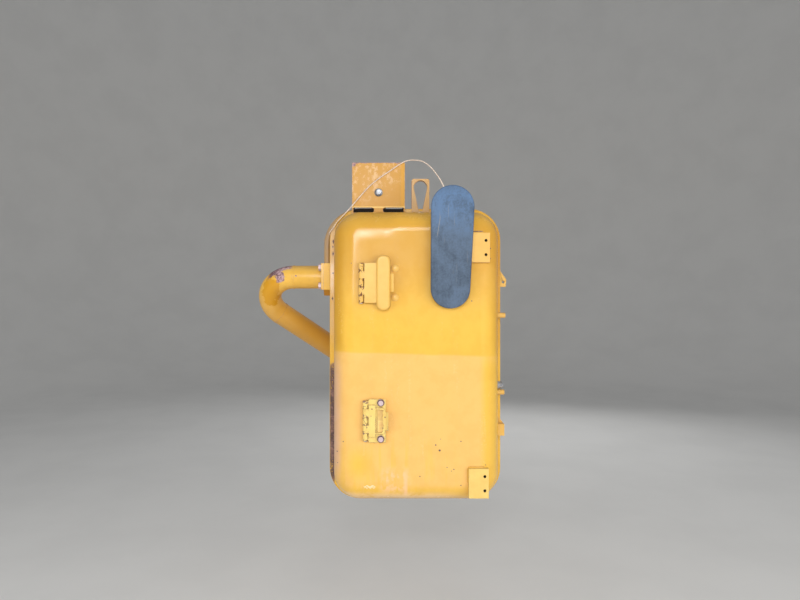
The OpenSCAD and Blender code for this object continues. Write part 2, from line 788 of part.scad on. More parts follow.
module vent_tube() color(paint) vent_run() tube_2d(vent_d, vent_t);

// A gusset with a small hole, behind the seam flange on the right
module upper_side_lug() color(paint) {
    lug_h = 64;
    translate([half_w, 0, upper_lug_z]) front_plate(seam_y + flange_t + lug_t, lug_t) difference() {
        polygon([[0, 0], [lug_reach - 2, 0], [lug_reach, 28], [flange_w, lug_h], [0, lug_h]]);
        translate([lug_reach - 12, 18]) circle(d = lug_hole_d);
    }
}

// A block with a gusset over it, before the seam flange
module lower_side_lug() color(paint) {
    lug_h = 65;
    foot_h = 43;
    foot_t = 40;
    translate([half_w, 0, lower_lug_z]) {
        front_plate(seam_y - flange_t, lug_t) polygon([
            [0, 0], [lower_lug_reach, 0], [lower_lug_reach, foot_h], [lower_lug_reach / 3, lug_h], [0, lug_h]
        ]);
        translate([0, seam_y - flange_t - foot_t, 0]) cube([lower_lug_reach, foot_t, foot_h]);
    }
}

// A round fitting on the tank's right side
module side_stub(y, z, d, len) {
    translate([half_w, y, z]) rotate([0, 90, 0]) cylinder(d = d, h = len);
}

module level_port() color(paint) side_stub(fitting_y, level_port_z, 19, 31);

module temperature_sender() color(zinc) {
    flange_len = 9;
    side_stub(fitting_y, sender_z, 28, flange_len);
    translate([half_w + flange_len, fitting_y, sender_z]) rotate([0, 90, 0]) cylinder(d = 27, h = 9, $fn = 6);
    side_stub(fitting_y, sender_z, 16, 23);
}

module sample_port() color(paint) side_stub(fitting_y, sample_port_z, 19, 27);

module suction_port() color(paint) translate([suction_x, suction_y, -half_h]) mirror([0, 0, 1]) difference() {
    pad_t = 10;
    union() {
        cylinder(d = suction_pad_d, h = pad_t);
        cylinder(d = suction_neck_d, h = suction_h);
    }
    translate([0, 0, -1]) cylinder(d = suction_d, h = suction_h + 2);
}

module drain_plug() color(worn_steel) translate([drain_x, suction_y, -half_h]) mirror([0, 0, 1]) {
    boss_h = 12;
    cylinder(d = 54, h = boss_h);
    translate([0, 0, boss_h]) cylinder(d = 36, h = 12, $fn = 6);
}

// The rubber pad hangs on its wire and leans on the upper tapped pad
module rubber_pad() color(rubber) {
    translate([rubber_x, 0, rubber_top - rubber_w / 2]) rotate([0, rubber_tilt, 0])
        front_plate(rubber_y, rubber_t) hull() {
            circle(d = rubber_w);
            translate([0, -rubber_reach]) circle(d = rubber_foot_w);
        }
}

// Tube swept along a route: each ring stands square to the route's direction there
function unit(v) = v / norm(v);
function heading(route, i) = unit(route[min(i + 1, len(route) - 1)] - route[max(i - 1, 0)]);
function ring(p, dir, r, sides) =
    let (across = unit(cross(dir, abs(dir.z) < 0.9 ? [0, 0, 1] : [1, 0, 0])), up = cross(across, dir))
    [for (k = [0 : sides - 1]) p + r * (cos(360 * k / sides) * across + sin(360 * k / sides) * up)];
// A smooth curve through the chosen points
function between(a, b, c, d, t) =
    0.5 * (2 * b + (c - a) * t + (2 * a - 5 * b + 4 * c - d) * t * t + (3 * b - a - 3 * c + d) * t * t * t);
function smooth(route, steps) = concat([for (i = [0 : len(route) - 2], s = [0 : steps - 1])
    between(route[max(i - 1, 0)], route[i], route[i + 1], route[min(i + 2, len(route) - 1)], s / steps)],
    [route[len(route) - 1]]);

module pad_wire() color(zinc) {
    sides = 8;
    path = smooth(wire_route, 3);
    rings = [for (i = [0 : len(path) - 1]) each ring(path[i], heading(path, i), wire_d / 2, sides)];
    last = (len(path) - 1) * sides;
    polyhedron(rings, concat(
        [[for (k = [0 : sides - 1]) k]],
        [for (i = [0 : len(path) - 2], k = [0 : sides - 1])
            let (a = i * sides, next = (k + 1) % sides) [a + k, a + sides + k, a + sides + next, a + next]],
        [[for (k = [sides - 1 : -1 : 0]) last + k]]
    ));
}

front_shell();
rear_shell();
upper_mount_bar();
lower_mount_bar();
upper_pad();
lower_pad();
upper_gauge();
upper_glass();
upper_gauge_bolts();
lower_gauge();
lower_glass();
lower_gauge_bolts();
upper_hinge();
upper_hinge_pin();
upper_guard();
lower_hinge();
lower_hinge_pin();
lower_guard();
guard_stops();
breather_guard();
guard_post();
guard_bolt();
filler_cap();
lifting_eye();
port_block();
return_pipe();
flange_bolts();
vent_tube();
upper_side_lug();
lower_side_lug();
level_port();
temperature_sender();
sample_port();
suction_port();
drain_plug();
rubber_pad();
pad_wire();
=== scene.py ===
import math
import random
import bpy
import bmesh
from mathutils import Matrix, Vector, noise


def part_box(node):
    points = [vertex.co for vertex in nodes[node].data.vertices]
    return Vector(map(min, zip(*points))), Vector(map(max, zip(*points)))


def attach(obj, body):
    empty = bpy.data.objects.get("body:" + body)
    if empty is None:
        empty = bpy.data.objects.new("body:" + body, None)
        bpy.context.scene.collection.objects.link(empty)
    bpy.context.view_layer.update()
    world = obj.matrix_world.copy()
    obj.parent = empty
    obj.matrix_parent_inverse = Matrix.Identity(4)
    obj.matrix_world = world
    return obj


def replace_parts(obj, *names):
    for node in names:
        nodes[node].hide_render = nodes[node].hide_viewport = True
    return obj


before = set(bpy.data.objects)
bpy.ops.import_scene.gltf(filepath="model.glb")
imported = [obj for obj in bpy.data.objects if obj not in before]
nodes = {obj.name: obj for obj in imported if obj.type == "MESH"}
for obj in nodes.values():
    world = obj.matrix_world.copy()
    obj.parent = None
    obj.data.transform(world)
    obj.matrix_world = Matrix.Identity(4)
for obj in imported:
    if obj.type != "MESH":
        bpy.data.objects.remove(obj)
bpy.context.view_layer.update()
print("frame loaded:", len(nodes), "nodes")


# what several pieces need

def addObject(name, data):
    made = bpy.data.objects.new(name, data)
    bpy.context.scene.collection.objects.link(made)
    return made


def addMesh(name, bm):
    # an object with smooth faces
    mesh = bpy.data.meshes.new(name)
    bm.to_mesh(mesh)
    bm.free()
    for face in mesh.polygons:
        face.use_smooth = True
    return addObject(name, mesh)


def turnsRound(count):
    return [2 * math.pi * k / count for k in range(count)]


def skin(bm, rings, closed):
    # faces from ring to ring, and one over each end where the skin is closed
    for low, high in zip(rings, rings[1:]):
        for a, b, c, d in zip(low, low[1:] + low[:1], high[1:] + high[:1], high):
            bm.faces.new((a, b, c, d) if closed else (a, d, c, b))
    if closed:
        bm.faces.new(list(reversed(rings[0])))
        bm.faces.new(rings[-1])


# camera and wire

cameraLook = {
    "place": (-0.1332, -2.578, 0.200),
    "lens": 27.0,       # on a 36 mm sensor
    "shift": 0.0259,    # the picture is framed a little to the right of the lens axis
}


def makeCamera(look):
    data = bpy.data.cameras.new("camera")
    data.lens = look["lens"]
    data.shift_x = look["shift"]
    camera = addObject("camera", data)
    camera.location = look["place"]
    camera.rotation_euler = (math.radians(90), 0, 0)
    bpy.context.scene.camera = camera
    bpy.context.scene.view_settings.view_transform = "Standard"


makeCamera(cameraLook)

wireLook = {
    "diameter": 0.004,
    "bright": (0.80, 0.66, 0.54),
    "dull": (0.50, 0.38, 0.30),
    # the route in millimetres, from the pad over the breather guard to the vent tube
    "route": [
        (98, -481, 580), (92, -481, 596), (82, -475, 619), (70, -464, 641), (51, -444, 671),
        (28, -420, 696), (7, -400, 707), (-17, -377, 713), (-38, -361, 712), (-62, -360, 699),
        (-94, -360, 677), (-131, -360, 652), (-168, -360, 622), (-205, -360, 582), (-227, -360, 556),
        (-260, -360, 519), (-286, -359, 492), (-300, -357, 472), (-311, -351, 459), (-318, -341, 451),
        (-319, -330, 446), (-315, -319, 441), (-311, -308, 437), (-311, -298, 434), (-317, -289, 432),
        (-327, -286, 430), (-337, -290, 429), (-343, -298, 428), (-343, -306, 427),
    ],
    "steps": 3,         # points on each stretch of the route
}


def smoothRoute(points, steps):
    # a curve through every point, each stretch leaning on its neighbours
    line = []
    for i in range(len(points) - 1):
        a = points[max(i - 1, 0)]
        b = points[i]
        c = points[i + 1]
        d = points[min(i + 2, len(points) - 1)]
        for s in range(steps):
            t = s / steps
            line.append(0.5 * (2 * b + (c - a) * t + (2 * a - 5 * b + 4 * c - d) * t * t
                               + (3 * b - a - 3 * c + d) * t ** 3))
    line.append(points[-1])
    return line


def routeLength(points):
    return sum((b - a).length for a, b in zip(points, points[1:]))


def makeWire(look):
    route = [Vector(p) / 1000 for p in look["route"]]
    line = smoothRoute(route, look["steps"])
    data = bpy.data.curves.new("padWire", "CURVE")
    data.dimensions = "3D"
    data.bevel_depth = 1.0      # times each point's radius, so that the curve's box stays tight
    data.bevel_resolution = 3
    data.use_fill_caps = True
    spline = data.splines.new("POLY")
    spline.points.add(len(line) - 1)
    for point, place in zip(spline.points, line):
        point.co = (*place, 1)
        point.radius = look["diameter"] / 2
    wire = addObject("padWire", data)
    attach(wire, "root")
    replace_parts(wire, "pad_wire")
    routeLength(line)
    print("wire:", round(routeLength(line), 3), "m long")
    return wire


padWire = makeWire(wireLook)


# stage and light

stageLook = {
    "floor": -0.95,
    "radius": 9.0,
    "inner": 0.5,       # radius of the floor's first ring
    "bend": 3.4,
    "bendSteps": 12,
    "height": 7.0,
    "sides": 128,
    "colour": (0.70, 0.69, 0.67),
}

lightLook = {
    # name: place, aim, width and height in metres, power in watts, colour
    "front": ((1.0, -4.2, 0.15), (0, -0.4, -0.10), 3.0, 1.5, 26, (1.0, 0.99, 0.97)),
    "right": ((2.9, -3.2, 0.30), (0, -0.4, -0.10), 3.0, 1.9, 73, (1.0, 0.98, 0.95)),
    "left": ((-3.0, -3.0, 0.35), (0, -0.4, -0.10), 3.0, 1.9, 62, (1.0, 0.99, 0.97)),
    "stripThick": ((-0.21, -3.4, 1.20), (-0.2, -0.4, 0.45), 0.36, 0.34, 16.0, (0.94, 0.97, 1.0)),
    "stripThin": ((0.20, -3.4, 1.50), (0.0, -0.4, 0.45), 0.46, 0.10, 5.5, (0.94, 0.97, 1.0)),
    "stripUpright": ((-0.62, -3.4, 0.80), (-0.2, -0.4, 0.40), 0.14, 0.86, 15.0, (0.94, 0.97, 1.0)),
    "back": ((1.2, 3.4, 1.5), (0, -0.2, 0.0), 3.0, 2.2, 44, (0.98, 0.99, 1.0)),
}
skyStrength = 0.375


def makeStage(look, strength):
    # a round floor whose rim sweeps up into a wall
    bm = bmesh.new()
    flat = look["radius"] - look["bend"]
    profile = [(look["inner"], 0), (flat, 0)]
    for step in range(1, look["bendSteps"] + 1):
        turn = math.radians(90) * step / look["bendSteps"]
        profile.append((flat + look["bend"] * math.sin(turn), look["bend"] * (1 - math.cos(turn))))
    profile.append((look["radius"], look["height"]))
    rings = []
    for reach, height in profile:
        rings.append([bm.verts.new((reach * math.cos(t), reach * math.sin(t), look["floor"] + height))
                      for t in turnsRound(look["sides"])])
    centre = bm.verts.new((0, 0, look["floor"]))
    for first, second in zip(rings[0], rings[0][1:] + rings[0][:1]):
        bm.faces.new((centre, first, second))
    skin(bm, rings, closed=False)
    stage = addMesh("stage", bm)
    world = bpy.data.worlds.new("studio")
    world.use_nodes = True
    sky = world.node_tree.nodes["Background"]
    sky.inputs["Color"].default_value = (0.93, 0.96, 1.0, 1)
    sky.inputs["Strength"].default_value = strength
    bpy.context.scene.world = world
    return stage


def makeLights(look):
    for name, (place, aim, width, height, power, colour) in look.items():
        data = bpy.data.lights.new(name, "AREA")
        data.shape = "RECTANGLE"
        data.size = width
        data.size_y = height
        data.energy = power
        data.color = colour
        lamp = addObject(name, data)
        lamp.location = place
        lamp.rotation_euler = (Vector(aim) - Vector(place)).to_track_quat("-Z", "Y").to_euler()
        # the wide lights at the sides would mirror as hard bands on the rolled edges
        lamp.visible_glossy = name.startswith("strip")


stage = makeStage(stageLook, skyStrength)
makeLights(lightLook)
print("stage and lights made")


# how finishes are written

class Socket:
    # one output of a shader node, which reads as a number in an expression
    def __init__(self, finish, link):
        self.finish = finish
        self.link = link

    def __add__(self, other):
        return self.finish.maths("ADD", self, other)

    def __radd__(self, other):
        return self.finish.maths("ADD", other, self)

    def __sub__(self, other):
        return self.finish.maths("SUBTRACT", self, other)

    def __rsub__(self, other):
        return self.finish.maths("SUBTRACT", other, self)

    def __mul__(self, other):
        return self.finish.maths("MULTIPLY", self, other)

    def __rmul__(self, other):
        return self.finish.maths("MULTIPLY", other, self)

    def __truediv__(self, other):
        return self.finish.maths("DIVIDE", self, other)


class Finish:
    # a material under construction
    def __init__(self, name):
        self.material = bpy.data.materials.new(name)
        self.material.use_nodes = True
        self.tree = self.material.node_tree
        self.tree.nodes.clear()
        self.point = self.add("TexCoord", out="Object")
        parts = self.add("SeparateXYZ", values={0: self.point}).link.node
        self.x, self.y, self.z = (Socket(self, parts.outputs[k]) for k in range(3))

    def add(self, kind, settings=(), values=(), out=0):
        node = self.tree.nodes.new("ShaderNode" + kind)
        for key, value in dict(settings).items():
            setattr(node, key, value)
        for key, value in dict(values).items():
            self.plug(node.inputs[key], value)
        return Socket(self, node.outputs[out])

    def plug(self, entry, value):
        if isinstance(value, Socket):
            self.tree.links.new(value.link, entry)
        elif isinstance(value, tuple) and entry.type == "RGBA":
            entry.default_value = (*value, 1)
        else:
            entry.default_value = value

    def maths(self, how, *terms):
        return self.add("Math", {"operation": how}, dict(enumerate(terms)))

    def least(self, first, second):
        return self.maths("MINIMUM", first, second)

    def most(self, first, second):
        return self.maths("MAXIMUM", first, second)

    def size(self, value):
        return self.maths("ABSOLUTE", value)

    def ease(self, value, low, high):
        # 0 up to low, 1 from high on, soft between; low may be the larger one
        return self.add("MapRange", {"interpolation_type": "SMOOTHSTEP"},
                        {"Value": value, "From Min": low, "From Max": high})

    def mix(self, first, second, share):
        return self.add("Mix", {"data_type": "RGBA"}, {0: share, 6: first, 7: second}, out=2)

    def cloud(self, scale, detail=3.0, rough=0.55, pull=None):
        # patches of about 1 / scale metres, drawn out along an axis where pull is below 1
        where = self.point
        if pull:
            where = self.add("VectorMath", {"operation": "MULTIPLY"}, {0: where, 1: pull})
        return self.add("TexNoise", {},
                        {"Vector": where, "Scale": scale, "Detail": detail, "Roughness": rough})

    def cells(self, scale, out="Distance"):
        return self.add("TexVoronoi", {}, {"Vector": self.point, "Scale": scale}, out=out)

    def band(self, value, low, high, soft):
        # 1 between low and high
        return self.ease(value, low - soft, low + soft) * self.ease(value, high + soft, high - soft)

    def away(self, x, z):
        # distance from a point of the front
        dx = self.x - x
        dz = self.z - z
        return self.maths("SQRT", dx * dx + dz * dz)

    def spot(self, x, z, radius, soft=0.5):
        # a round patch on the front, 1 in its middle
        return self.ease(self.away(x, z), radius, radius * (1 - soft))

    def corners(self, radius):
        # how much the surface turns within that radius, 0 where it is flat
        rounded = self.add("Bevel", {"samples": 4}, {"Radius": radius})
        flat = self.add("NewGeometry", out="Normal")
        along = self.add("VectorMath", {"operation": "DOT_PRODUCT"}, {0: rounded, 1: flat}, out="Value")
        return 1 - along

    def hollows(self, reach):
        # 1 deep in a corner, 0 in the open
        openness = self.add("AmbientOcclusion", {"samples": 6}, {"Distance": reach}, out="AO")
        return 1 - openness

    def facing(self, axis):
        # 1 where the surface looks along the axis, -1 where it looks the other way
        normal = self.add("NewGeometry", out="Normal")
        return self.add("VectorMath", {"operation": "DOT_PRODUCT"}, {0: normal, 1: axis}, out="Value")

    def bump(self, height, depth):
        return self.add("Bump", {}, {"Strength": 1.0, "Distance": depth, "Height": height})

    def finish(self, **values):
        # a socket's name is written with _ for each blank
        shader = self.tree.nodes.new("ShaderNodeBsdfPrincipled")
        for key, value in values.items():
            self.plug(shader.inputs[key.replace("_", " ")], value)
        end = self.tree.nodes.new("ShaderNodeOutputMaterial")
        self.tree.links.new(shader.outputs[0], end.inputs[0])
        return self.material


# paint

paintLook = {
    "deep": (0.56, 0.255, 0.020),
    "plain": (0.70, 0.385, 0.070),
    "pale": (0.78, 0.470, 0.130),
    "dimTopShade": (0.58, 0.300, 0.030),
    "yellow": (0.81, 0.480, 0.060),
    "cream": (0.82, 0.560, 0.160),
    "lemon": (0.84, 0.640, 0.200),
    "white": (0.94, 0.800, 0.520),
    "pearlGroundLight": (0.93, 0.640, 0.340),
    "chalk": (0.83, 0.490, 0.155),
    "bloom": (0.66, 0.430, 0.215),
    "dust": (0.42, 0.285, 0.165),
    "putty": (0.36, 0.240, 0.140),
    "tan": (0.40, 0.205, 0.050),
    "earth": (0.46, 0.260, 0.095),
    "grimeAndShade": (0.10, 0.058, 0.032),
    "shadowBlack": (0.012, 0.009, 0.008),
    "primer": (0.36, 0.21, 0.15),
    "rust": (0.16, 0.062, 0.038),
    "oldRust": (0.31, 0.180, 0.150),
    "redRust": (0.17, 0.060, 0.022),
    "plumRust": (0.115, 0.055, 0.068),
    "roseRust": (0.52, 0.350, 0.360),
    "darkRust": (0.066, 0.042, 0.050),
    "ochre": (0.60, 0.290, 0.010),
    "lilac": (0.72, 0.430, 0.300),
    "blush": (0.86, 0.530, 0.290),
    "guard": (0.50, 0.235, 0.024),
    "blister": (0.68, 0.430, 0.205),
    "block": (0.80, 0.450, 0.028),
    "blockFootShade": (0.42, 0.165, 0.004),
    "repaint": (0.61, 0.285, 0.006),
}


def machinePaint(name, wear, dusty, specks, tone=None, rusty=None, gloss=0.25, dents=0.0,
                 grain=0.00003, age=0.0, sheen=0.34, form=None, oily=None, iron=("rust", "oldRust")):
    # wear: chipped edges; dusty: film and grime, with painted shade in corners; specks: rust dots on
    # open faces; gloss: the clear coat; dents: depth of the broad dents; grain: depth of the skin's
    # texture; age: how dark the rust is; sheen: the least roughness; iron: the rust's two shades. The
    # rest are functions: tone gives the colour from place to place, rusty where the paint has gone,
    # form a slow change of the sheet's height, and the last where the colour is painted black as shade
    f = Finish(name)
    c = paintLook
    broad = f.cloud(3.2, 4, 0.6)
    patchy = f.cloud(17, 5, 0.62)
    fine = f.cloud(140, 4, 0.6)
    runs = f.cloud(9, 4, 0.6, pull=(4.0, 4.0, 0.35))
    colour = f.mix(c["plain"], c["pale"], f.ease(broad * 0.6 + patchy * 0.4, 0.40, 0.68) * 0.55)
    if tone:
        colour = tone(f, colour, patchy, fine)
    colour = f.mix(colour, c["deep"], f.ease(patchy, 0.60, 0.34) * 0.13)
    film = f.ease(runs * 0.6 + fine * 0.4, 0.50, 0.74)
    colour = f.mix(colour, c["dust"], film * 0.35 * dusty)

    # dust settles on what looks up; corners get grime and painted shade, the darker the more hidden
    up = f.ease(f.facing((0, 0, 1)), 0.35, 0.95)
    settled = up * f.ease(patchy, 0.30, 0.62)
    colour = f.mix(colour, c["dust"], settled * 0.6 * dusty)
    creviceGrimeShade = f.ease(f.hollows(0.022), 0.30, 0.85) * f.ease(fine * 0.5 + patchy * 0.5, 0.30, 0.60)
    colour = f.mix(colour, c["grimeAndShade"], creviceGrimeShade * 0.75 * dusty)

    # chips on the edges, then rust dots of many sizes
    edge = f.corners(0.0035)
    ragged = edge + (patchy - 0.5) * 0.55 + (fine - 0.5) * 0.30
    reached = f.ease(edge, 0.01, 0.05) * f.ease(broad + patchy * 0.5, 0.92 - 0.42 * wear, 1.05 - 0.42 * wear)
    chipped = f.ease(ragged, 0.30 - 0.22 * wear, 0.36 - 0.20 * wear) * reached
    draw = f.add("SeparateColor", {}, {0: f.cells(31, out="Color")})
    dotSize = f.ease(draw, 1.0 - 0.30 * specks, 1.0) * 0.11
    dotted = f.ease(dotSize - f.cells(31) + (fine - 0.5) * 0.05, 0.0, 0.02)
    bare = f.most(chipped, dotted)
    if rusty:
        bare = f.most(bare, rusty(f, patchy, fine))
    lifting = f.ease(ragged, 0.24 - 0.22 * wear, 0.32 - 0.20 * wear) * reached
    colour = f.mix(colour, c["primer"], f.most(lifting * 0.75, f.ease(bare, 0.0, 0.6) * 0.5))
    flaked = f.ease(fine * 0.6 + patchy * 0.4, 0.38 + age, 0.62 + age)
    colour = f.mix(colour, f.mix(c[iron[0]], c[iron[1]], flaked), bare)
    # painted shade: black where a place lies deep in shade, in tapped holes, under and inside the guard
    shadeBlackness = oily(f) if oily else 0.0
    colour = f.mix(colour, c["shadowBlack"], shadeBlackness)

    height = f.cloud(420, 2, 0.5) * grain + patchy * 0.00012 - bare * (0.00010 + fine * 0.00014)
    if dents:
        height = height + f.cloud(5.5, 1, 0.4) * dents
    if form:
        height = height + form(f)
    dull = sheen + patchy * 0.10 + settled * 0.25 + film * 0.10 + bare * 0.40 + creviceGrimeShade * 0.3
    dry = 1 - f.least(bare + settled + film * 0.4 + shadeBlackness, 1.0)
    return f.finish(
        Base_Color=colour,
        Roughness=f.least(dull + shadeBlackness, 0.95),
        Normal=f.bump(height, 1.0),
        Specular_IOR_Level=0.4,
        Coat_Weight=gloss * dry,
        Coat_Roughness=0.16,
    )


def layered(f, colour, *layers):
    # shades laid over each other, each with where it lies
    for shade, where in layers:
        colour = f.mix(colour, paintLook[shade], where)
    return colour


def toned(shade, share):
    # the whole piece leans to another shade
    def tone(f, colour, patchy, fine):
        return layered(f, colour, (shade, share * (0.75 + 0.5 * patchy)))
    return tone


tappedLook = {
    "apart": 0.050,             # between the middles of a pad's two holes
    "radius": 0.0060,
    "front": (-0.4749, -0.4742),    # the holes' colour ends on the pad's face, between these
}


def holeShadowsAt(x, z):
    # the two tapped holes of a pad, painted black as shade
    def holes(f):
        half = tappedLook["apart"] / 2
        low = f.spot(x, z - half, tappedLook["radius"], 0.1)
        high = f.spot(x, z + half, tappedLook["radius"], 0.1)
        return f.most(low, high) * f.ease(f.y, *tappedLook["front"])
    return holes


frontLook = {
    "split": 0.008,     # the level below which the face has chalked, in metres as all places are
    "specks": [         # x, z and radius of the single rust specks
        (0.066, -0.312, 0.0026), (0.080, -0.331, 0.0036), (0.083, -0.291, 0.0016), (0.155, -0.299, 0.0022),
        (0.130, -0.398, 0.0022), (0.121, -0.404, 0.0016), (0.106, -0.391, 0.0018), (0.243, -0.383, 0.0018),
        (0.155, -0.455, 0.0022), (-0.261, -0.302, 0.0020), (-0.284, -0.342, 0.0024), (-0.282, -0.382, 0.0018),
        (-0.232, 0.330, 0.0016), (0.010, -0.423, 0.0020), (0.2612, 0.383, 0.0024), (0.2615, 0.347, 0.0018),
    ],
    "flangeMarks": [    # x, z and half the height of the torn marks on the left flange
        (-0.3045, 0.418, 0.010), (-0.3050, 0.371, 0.011), (-0.3060, 0.398, 0.005), (-0.3070, 0.205, 0.007),
        (-0.3050, 0.300, 0.004),
    ],
    "scratch": (-0.187, -0.148, -0.458),    # x from, x to, z
}


def shadeUnderGuard(f):
    # the top of the seam flange below the breather guard is painted black as shade
    return f.band(f.x, -0.232, -0.040, 0.004) * f.ease(f.z, 0.5205, 0.5220) * f.ease(f.y, -0.3495, -0.3475)


def crown(f):
    # the sheet begins to turn before its rolled edge at the upper left
    over = f.most(f.z - 0.408, 0.0)
    beside = f.most(-0.195 - f.x, 0.0)
    first = over * over * f.ease(f.x, -0.060, -0.115) * 1.15
    return (first + beside * beside * f.ease(f.z, 0.290, 0.410) * 0.65) * -1


def frontTone(f, colour, patchy, fine):
    # the upper half darkens towards the top as painted shade, less on the top roll; the lower half has
    # chalked
    edge = frontLook["split"]
    ahead = f.ease(f.y, -0.372, -0.405)
    chalky = f.ease(f.z + f.x * 0.03 + (patchy - 0.5) * 0.010, edge + 0.005, edge - 0.005)

    # yellow runs low down, a blushed foot, and a pearly rim on what faces down, painted light from the ground
    streaks = f.cloud(24, 4, 0.6, pull=(1.7, 1.0, 0.14))
    low = f.ease(f.z, -0.22, -0.40)
    pool = f.band(f.z, -0.430, -0.335, 0.045) * f.band(f.x, -0.245, -0.165, 0.035)
    runs = f.most(low * f.ease(streaks, 0.48, 0.62) * f.ease(f.x, 0.20, -0.02) * 0.6, pool)
    foot = f.band(f.z, -0.480, -0.400, 0.020) * f.band(f.x, -0.125, -0.030, 0.020)
    foot = foot * f.ease(streaks * 0.45 + patchy * 0.55, 0.46, 0.54)
    foot = f.most(foot, f.band(f.x, -0.046, -0.034, 0.005) * f.band(f.z, -0.500, -0.425, 0.012))
    rim = f.ease(f.facing((0, 0, -1)), 0.40, 0.75) * f.ease(f.x, 0.20, 0.05)

    # the rolled edges, the upper left one deeper ochre as painted shade; the left flange; and the brown
    # line round what is welded on, partly stain and partly painted shade in the corners
    rolled = f.ease(f.x, -0.248, -0.284) * f.ease(f.z, -0.02, 0.06)
    right = f.ease(f.x, 0.215, 0.250) * f.ease(f.z, 0.05, -0.05)
    flange = f.ease(f.x, -0.2975, -0.3000) * f.ease(f.z, 0.00, 0.12)
    around = f.ease(f.hollows(0.010), 0.40, 0.80) * f.ease(f.y, -0.4580, -0.4592)
    # pale lilac low on the left rolled edge, partly pink dust and partly painted highlight
    shade = f.ease(f.x, -0.258, -0.288) * f.ease(f.z, 0.03, -0.08) * f.ease(f.z, -0.47, -0.36)

    # a few thin scratches that wander
    start, stop, level = frontLook["scratch"]
    marks = []
    for k in range(3):
        wave = f.maths("SINE", f.x * (330 + 90 * k) + 2.0 * k) * 0.0022
        line = f.size(f.z - level + 0.0032 * k + wave + (patchy - 0.5) * 0.006)
        marks.append(f.ease(line, 0.0020, 0.0006) * (0.7 if k else 1.0))
    scratched = f.most(f.most(marks[0], marks[1]), marks[2]) * f.band(f.x, start, stop, 0.004)
    return layered(
        f, colour,
        ("dimTopShade", f.ease(f.z, 0.10, 0.44) * 0.75),
        ("yellow", f.ease(f.z, 0.36, 0.08) * 0.85),
        ("chalk", chalky * ahead * 0.85),
        ("yellow", runs * 0.85),
        ("yellow", f.band(f.z, -0.505, -0.462, 0.014) * f.ease(f.x, 0.26, 0.16) * 0.7),
        ("blush", foot * 0.80),
        ("pearlGroundLight", rim * f.ease(patchy, 0.30, 0.50) * 0.70),
        ("deep", f.ease(f.x, 0.255, 0.292) * f.ease(f.z, -0.10, 0.10) * 0.40),
        ("yellow", f.ease(f.z, 0.450, 0.500) * 0.35),
        ("ochre", rolled * ahead * 0.60),
        ("yellow", right * 0.90),
        ("bloom", flange * (0.25 + patchy * 0.8)),
        ("tan", around * f.ease(fine, 0.30, 0.50) * 0.85),
        ("lilac", shade * ahead * (0.45 + patchy * 0.5)),
        ("white", scratched),
    )


def frontRusty(f, patchy, fine):
    # the left seam flange has lost its paint low down
    flange = f.ease(f.x, -0.2975, -0.3005)
    low = f.ease(f.z + (patchy - 0.5) * 0.20, -0.02, -0.08) * f.ease(f.z, -0.52, -0.44)
    marks = flange * low * f.ease(patchy * 0.6 + fine * 0.4, 0.36, 0.46)

    # a line over the upper pad's weld, single specks, and torn marks on the flange
    padLow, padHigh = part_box("upper_pad")
    line = f.size(f.z - padHigh.z - 0.0062) + (fine - 0.5) * 0.0050
    line = f.ease(line, 0.0024, 0.0012) * f.band(f.x, padLow.x - 0.004, padHigh.x + 0.002, 0.003)
    marks = f.most(marks, line * f.ease(f.y, -0.4580, -0.4592) * f.ease(patchy, 0.36, 0.46) * 0.8)
    for x, z, radius in frontLook["specks"]:
        marks = f.most(marks, f.spot(x, z, radius * 1.3, 0.5))
    torn = (f.cloud(210, 3, 0.7) - 0.5) * 0.016
    for x, z, tall in frontLook["flangeMarks"]:
        reach = f.size(f.x - x) * 2.2 + f.size(f.z - z) * (0.008 / tall) + torn
        marks = f.most(marks, f.ease(reach, 0.0085, 0.0060))
    root = f.ease(f.hollows(0.012), 0.40, 0.75) * f.ease(f.y, -0.356, -0.350) * f.ease(f.x, -0.10, -0.20)
    return f.most(marks * f.ease(fine, 0.25, 0.40), root * f.ease(patchy * 0.5 + fine * 0.5, 0.42, 0.54))


def backTone(f, colour, patchy, fine):
    # mud thrown up from below, and runs of dirty oil down the back
    streaks = f.cloud(26, 4, 0.62, pull=(1.6, 1.6, 0.10))
    runs = f.ease(streaks, 0.54, 0.66) * f.ease(f.y, -0.14, -0.08)
    mud = f.ease(f.z + (patchy - 0.5) * 0.34, -0.22, -0.46)
    return layered(
        f, colour,
        ("yellow", f.ease(f.cloud(5, 4, 0.6), 0.42, 0.62) * 0.35),
        ("grimeAndShade", runs * 0.42),
        ("dust", mud * (0.25 + fine * 0.7)),
    )


def backRusty(f, patchy, fine):
    # the rear half's seam flange is as worn, and its foot has suffered from stones
    flange = f.ease(f.x, -0.2975, -0.3005) * f.ease(f.z + (patchy - 0.5) * 0.20, 0.06, -0.02)
    stones = f.ease(f.z, -0.40, -0.53) * f.ease(patchy * 0.5 + fine * 0.5, 0.56, 0.62)
    rubbed = f.ease(f.y, -0.085, -0.062) * f.ease(f.cloud(46, 5, 0.7), 0.66, 0.69)
    return f.most(flange * f.ease(patchy * 0.6 + fine * 0.4, 0.38, 0.48), f.most(stones, rubbed))


def guardInsideShade(f):
    # painted shade, black on the inner side, most of it low down
    within = f.ease(f.y, -0.3525, -0.3512) * f.band(f.x, -0.2295, -0.0425, 0.0004)
    return within * f.ease(f.z, 0.650, 0.560) * 0.95


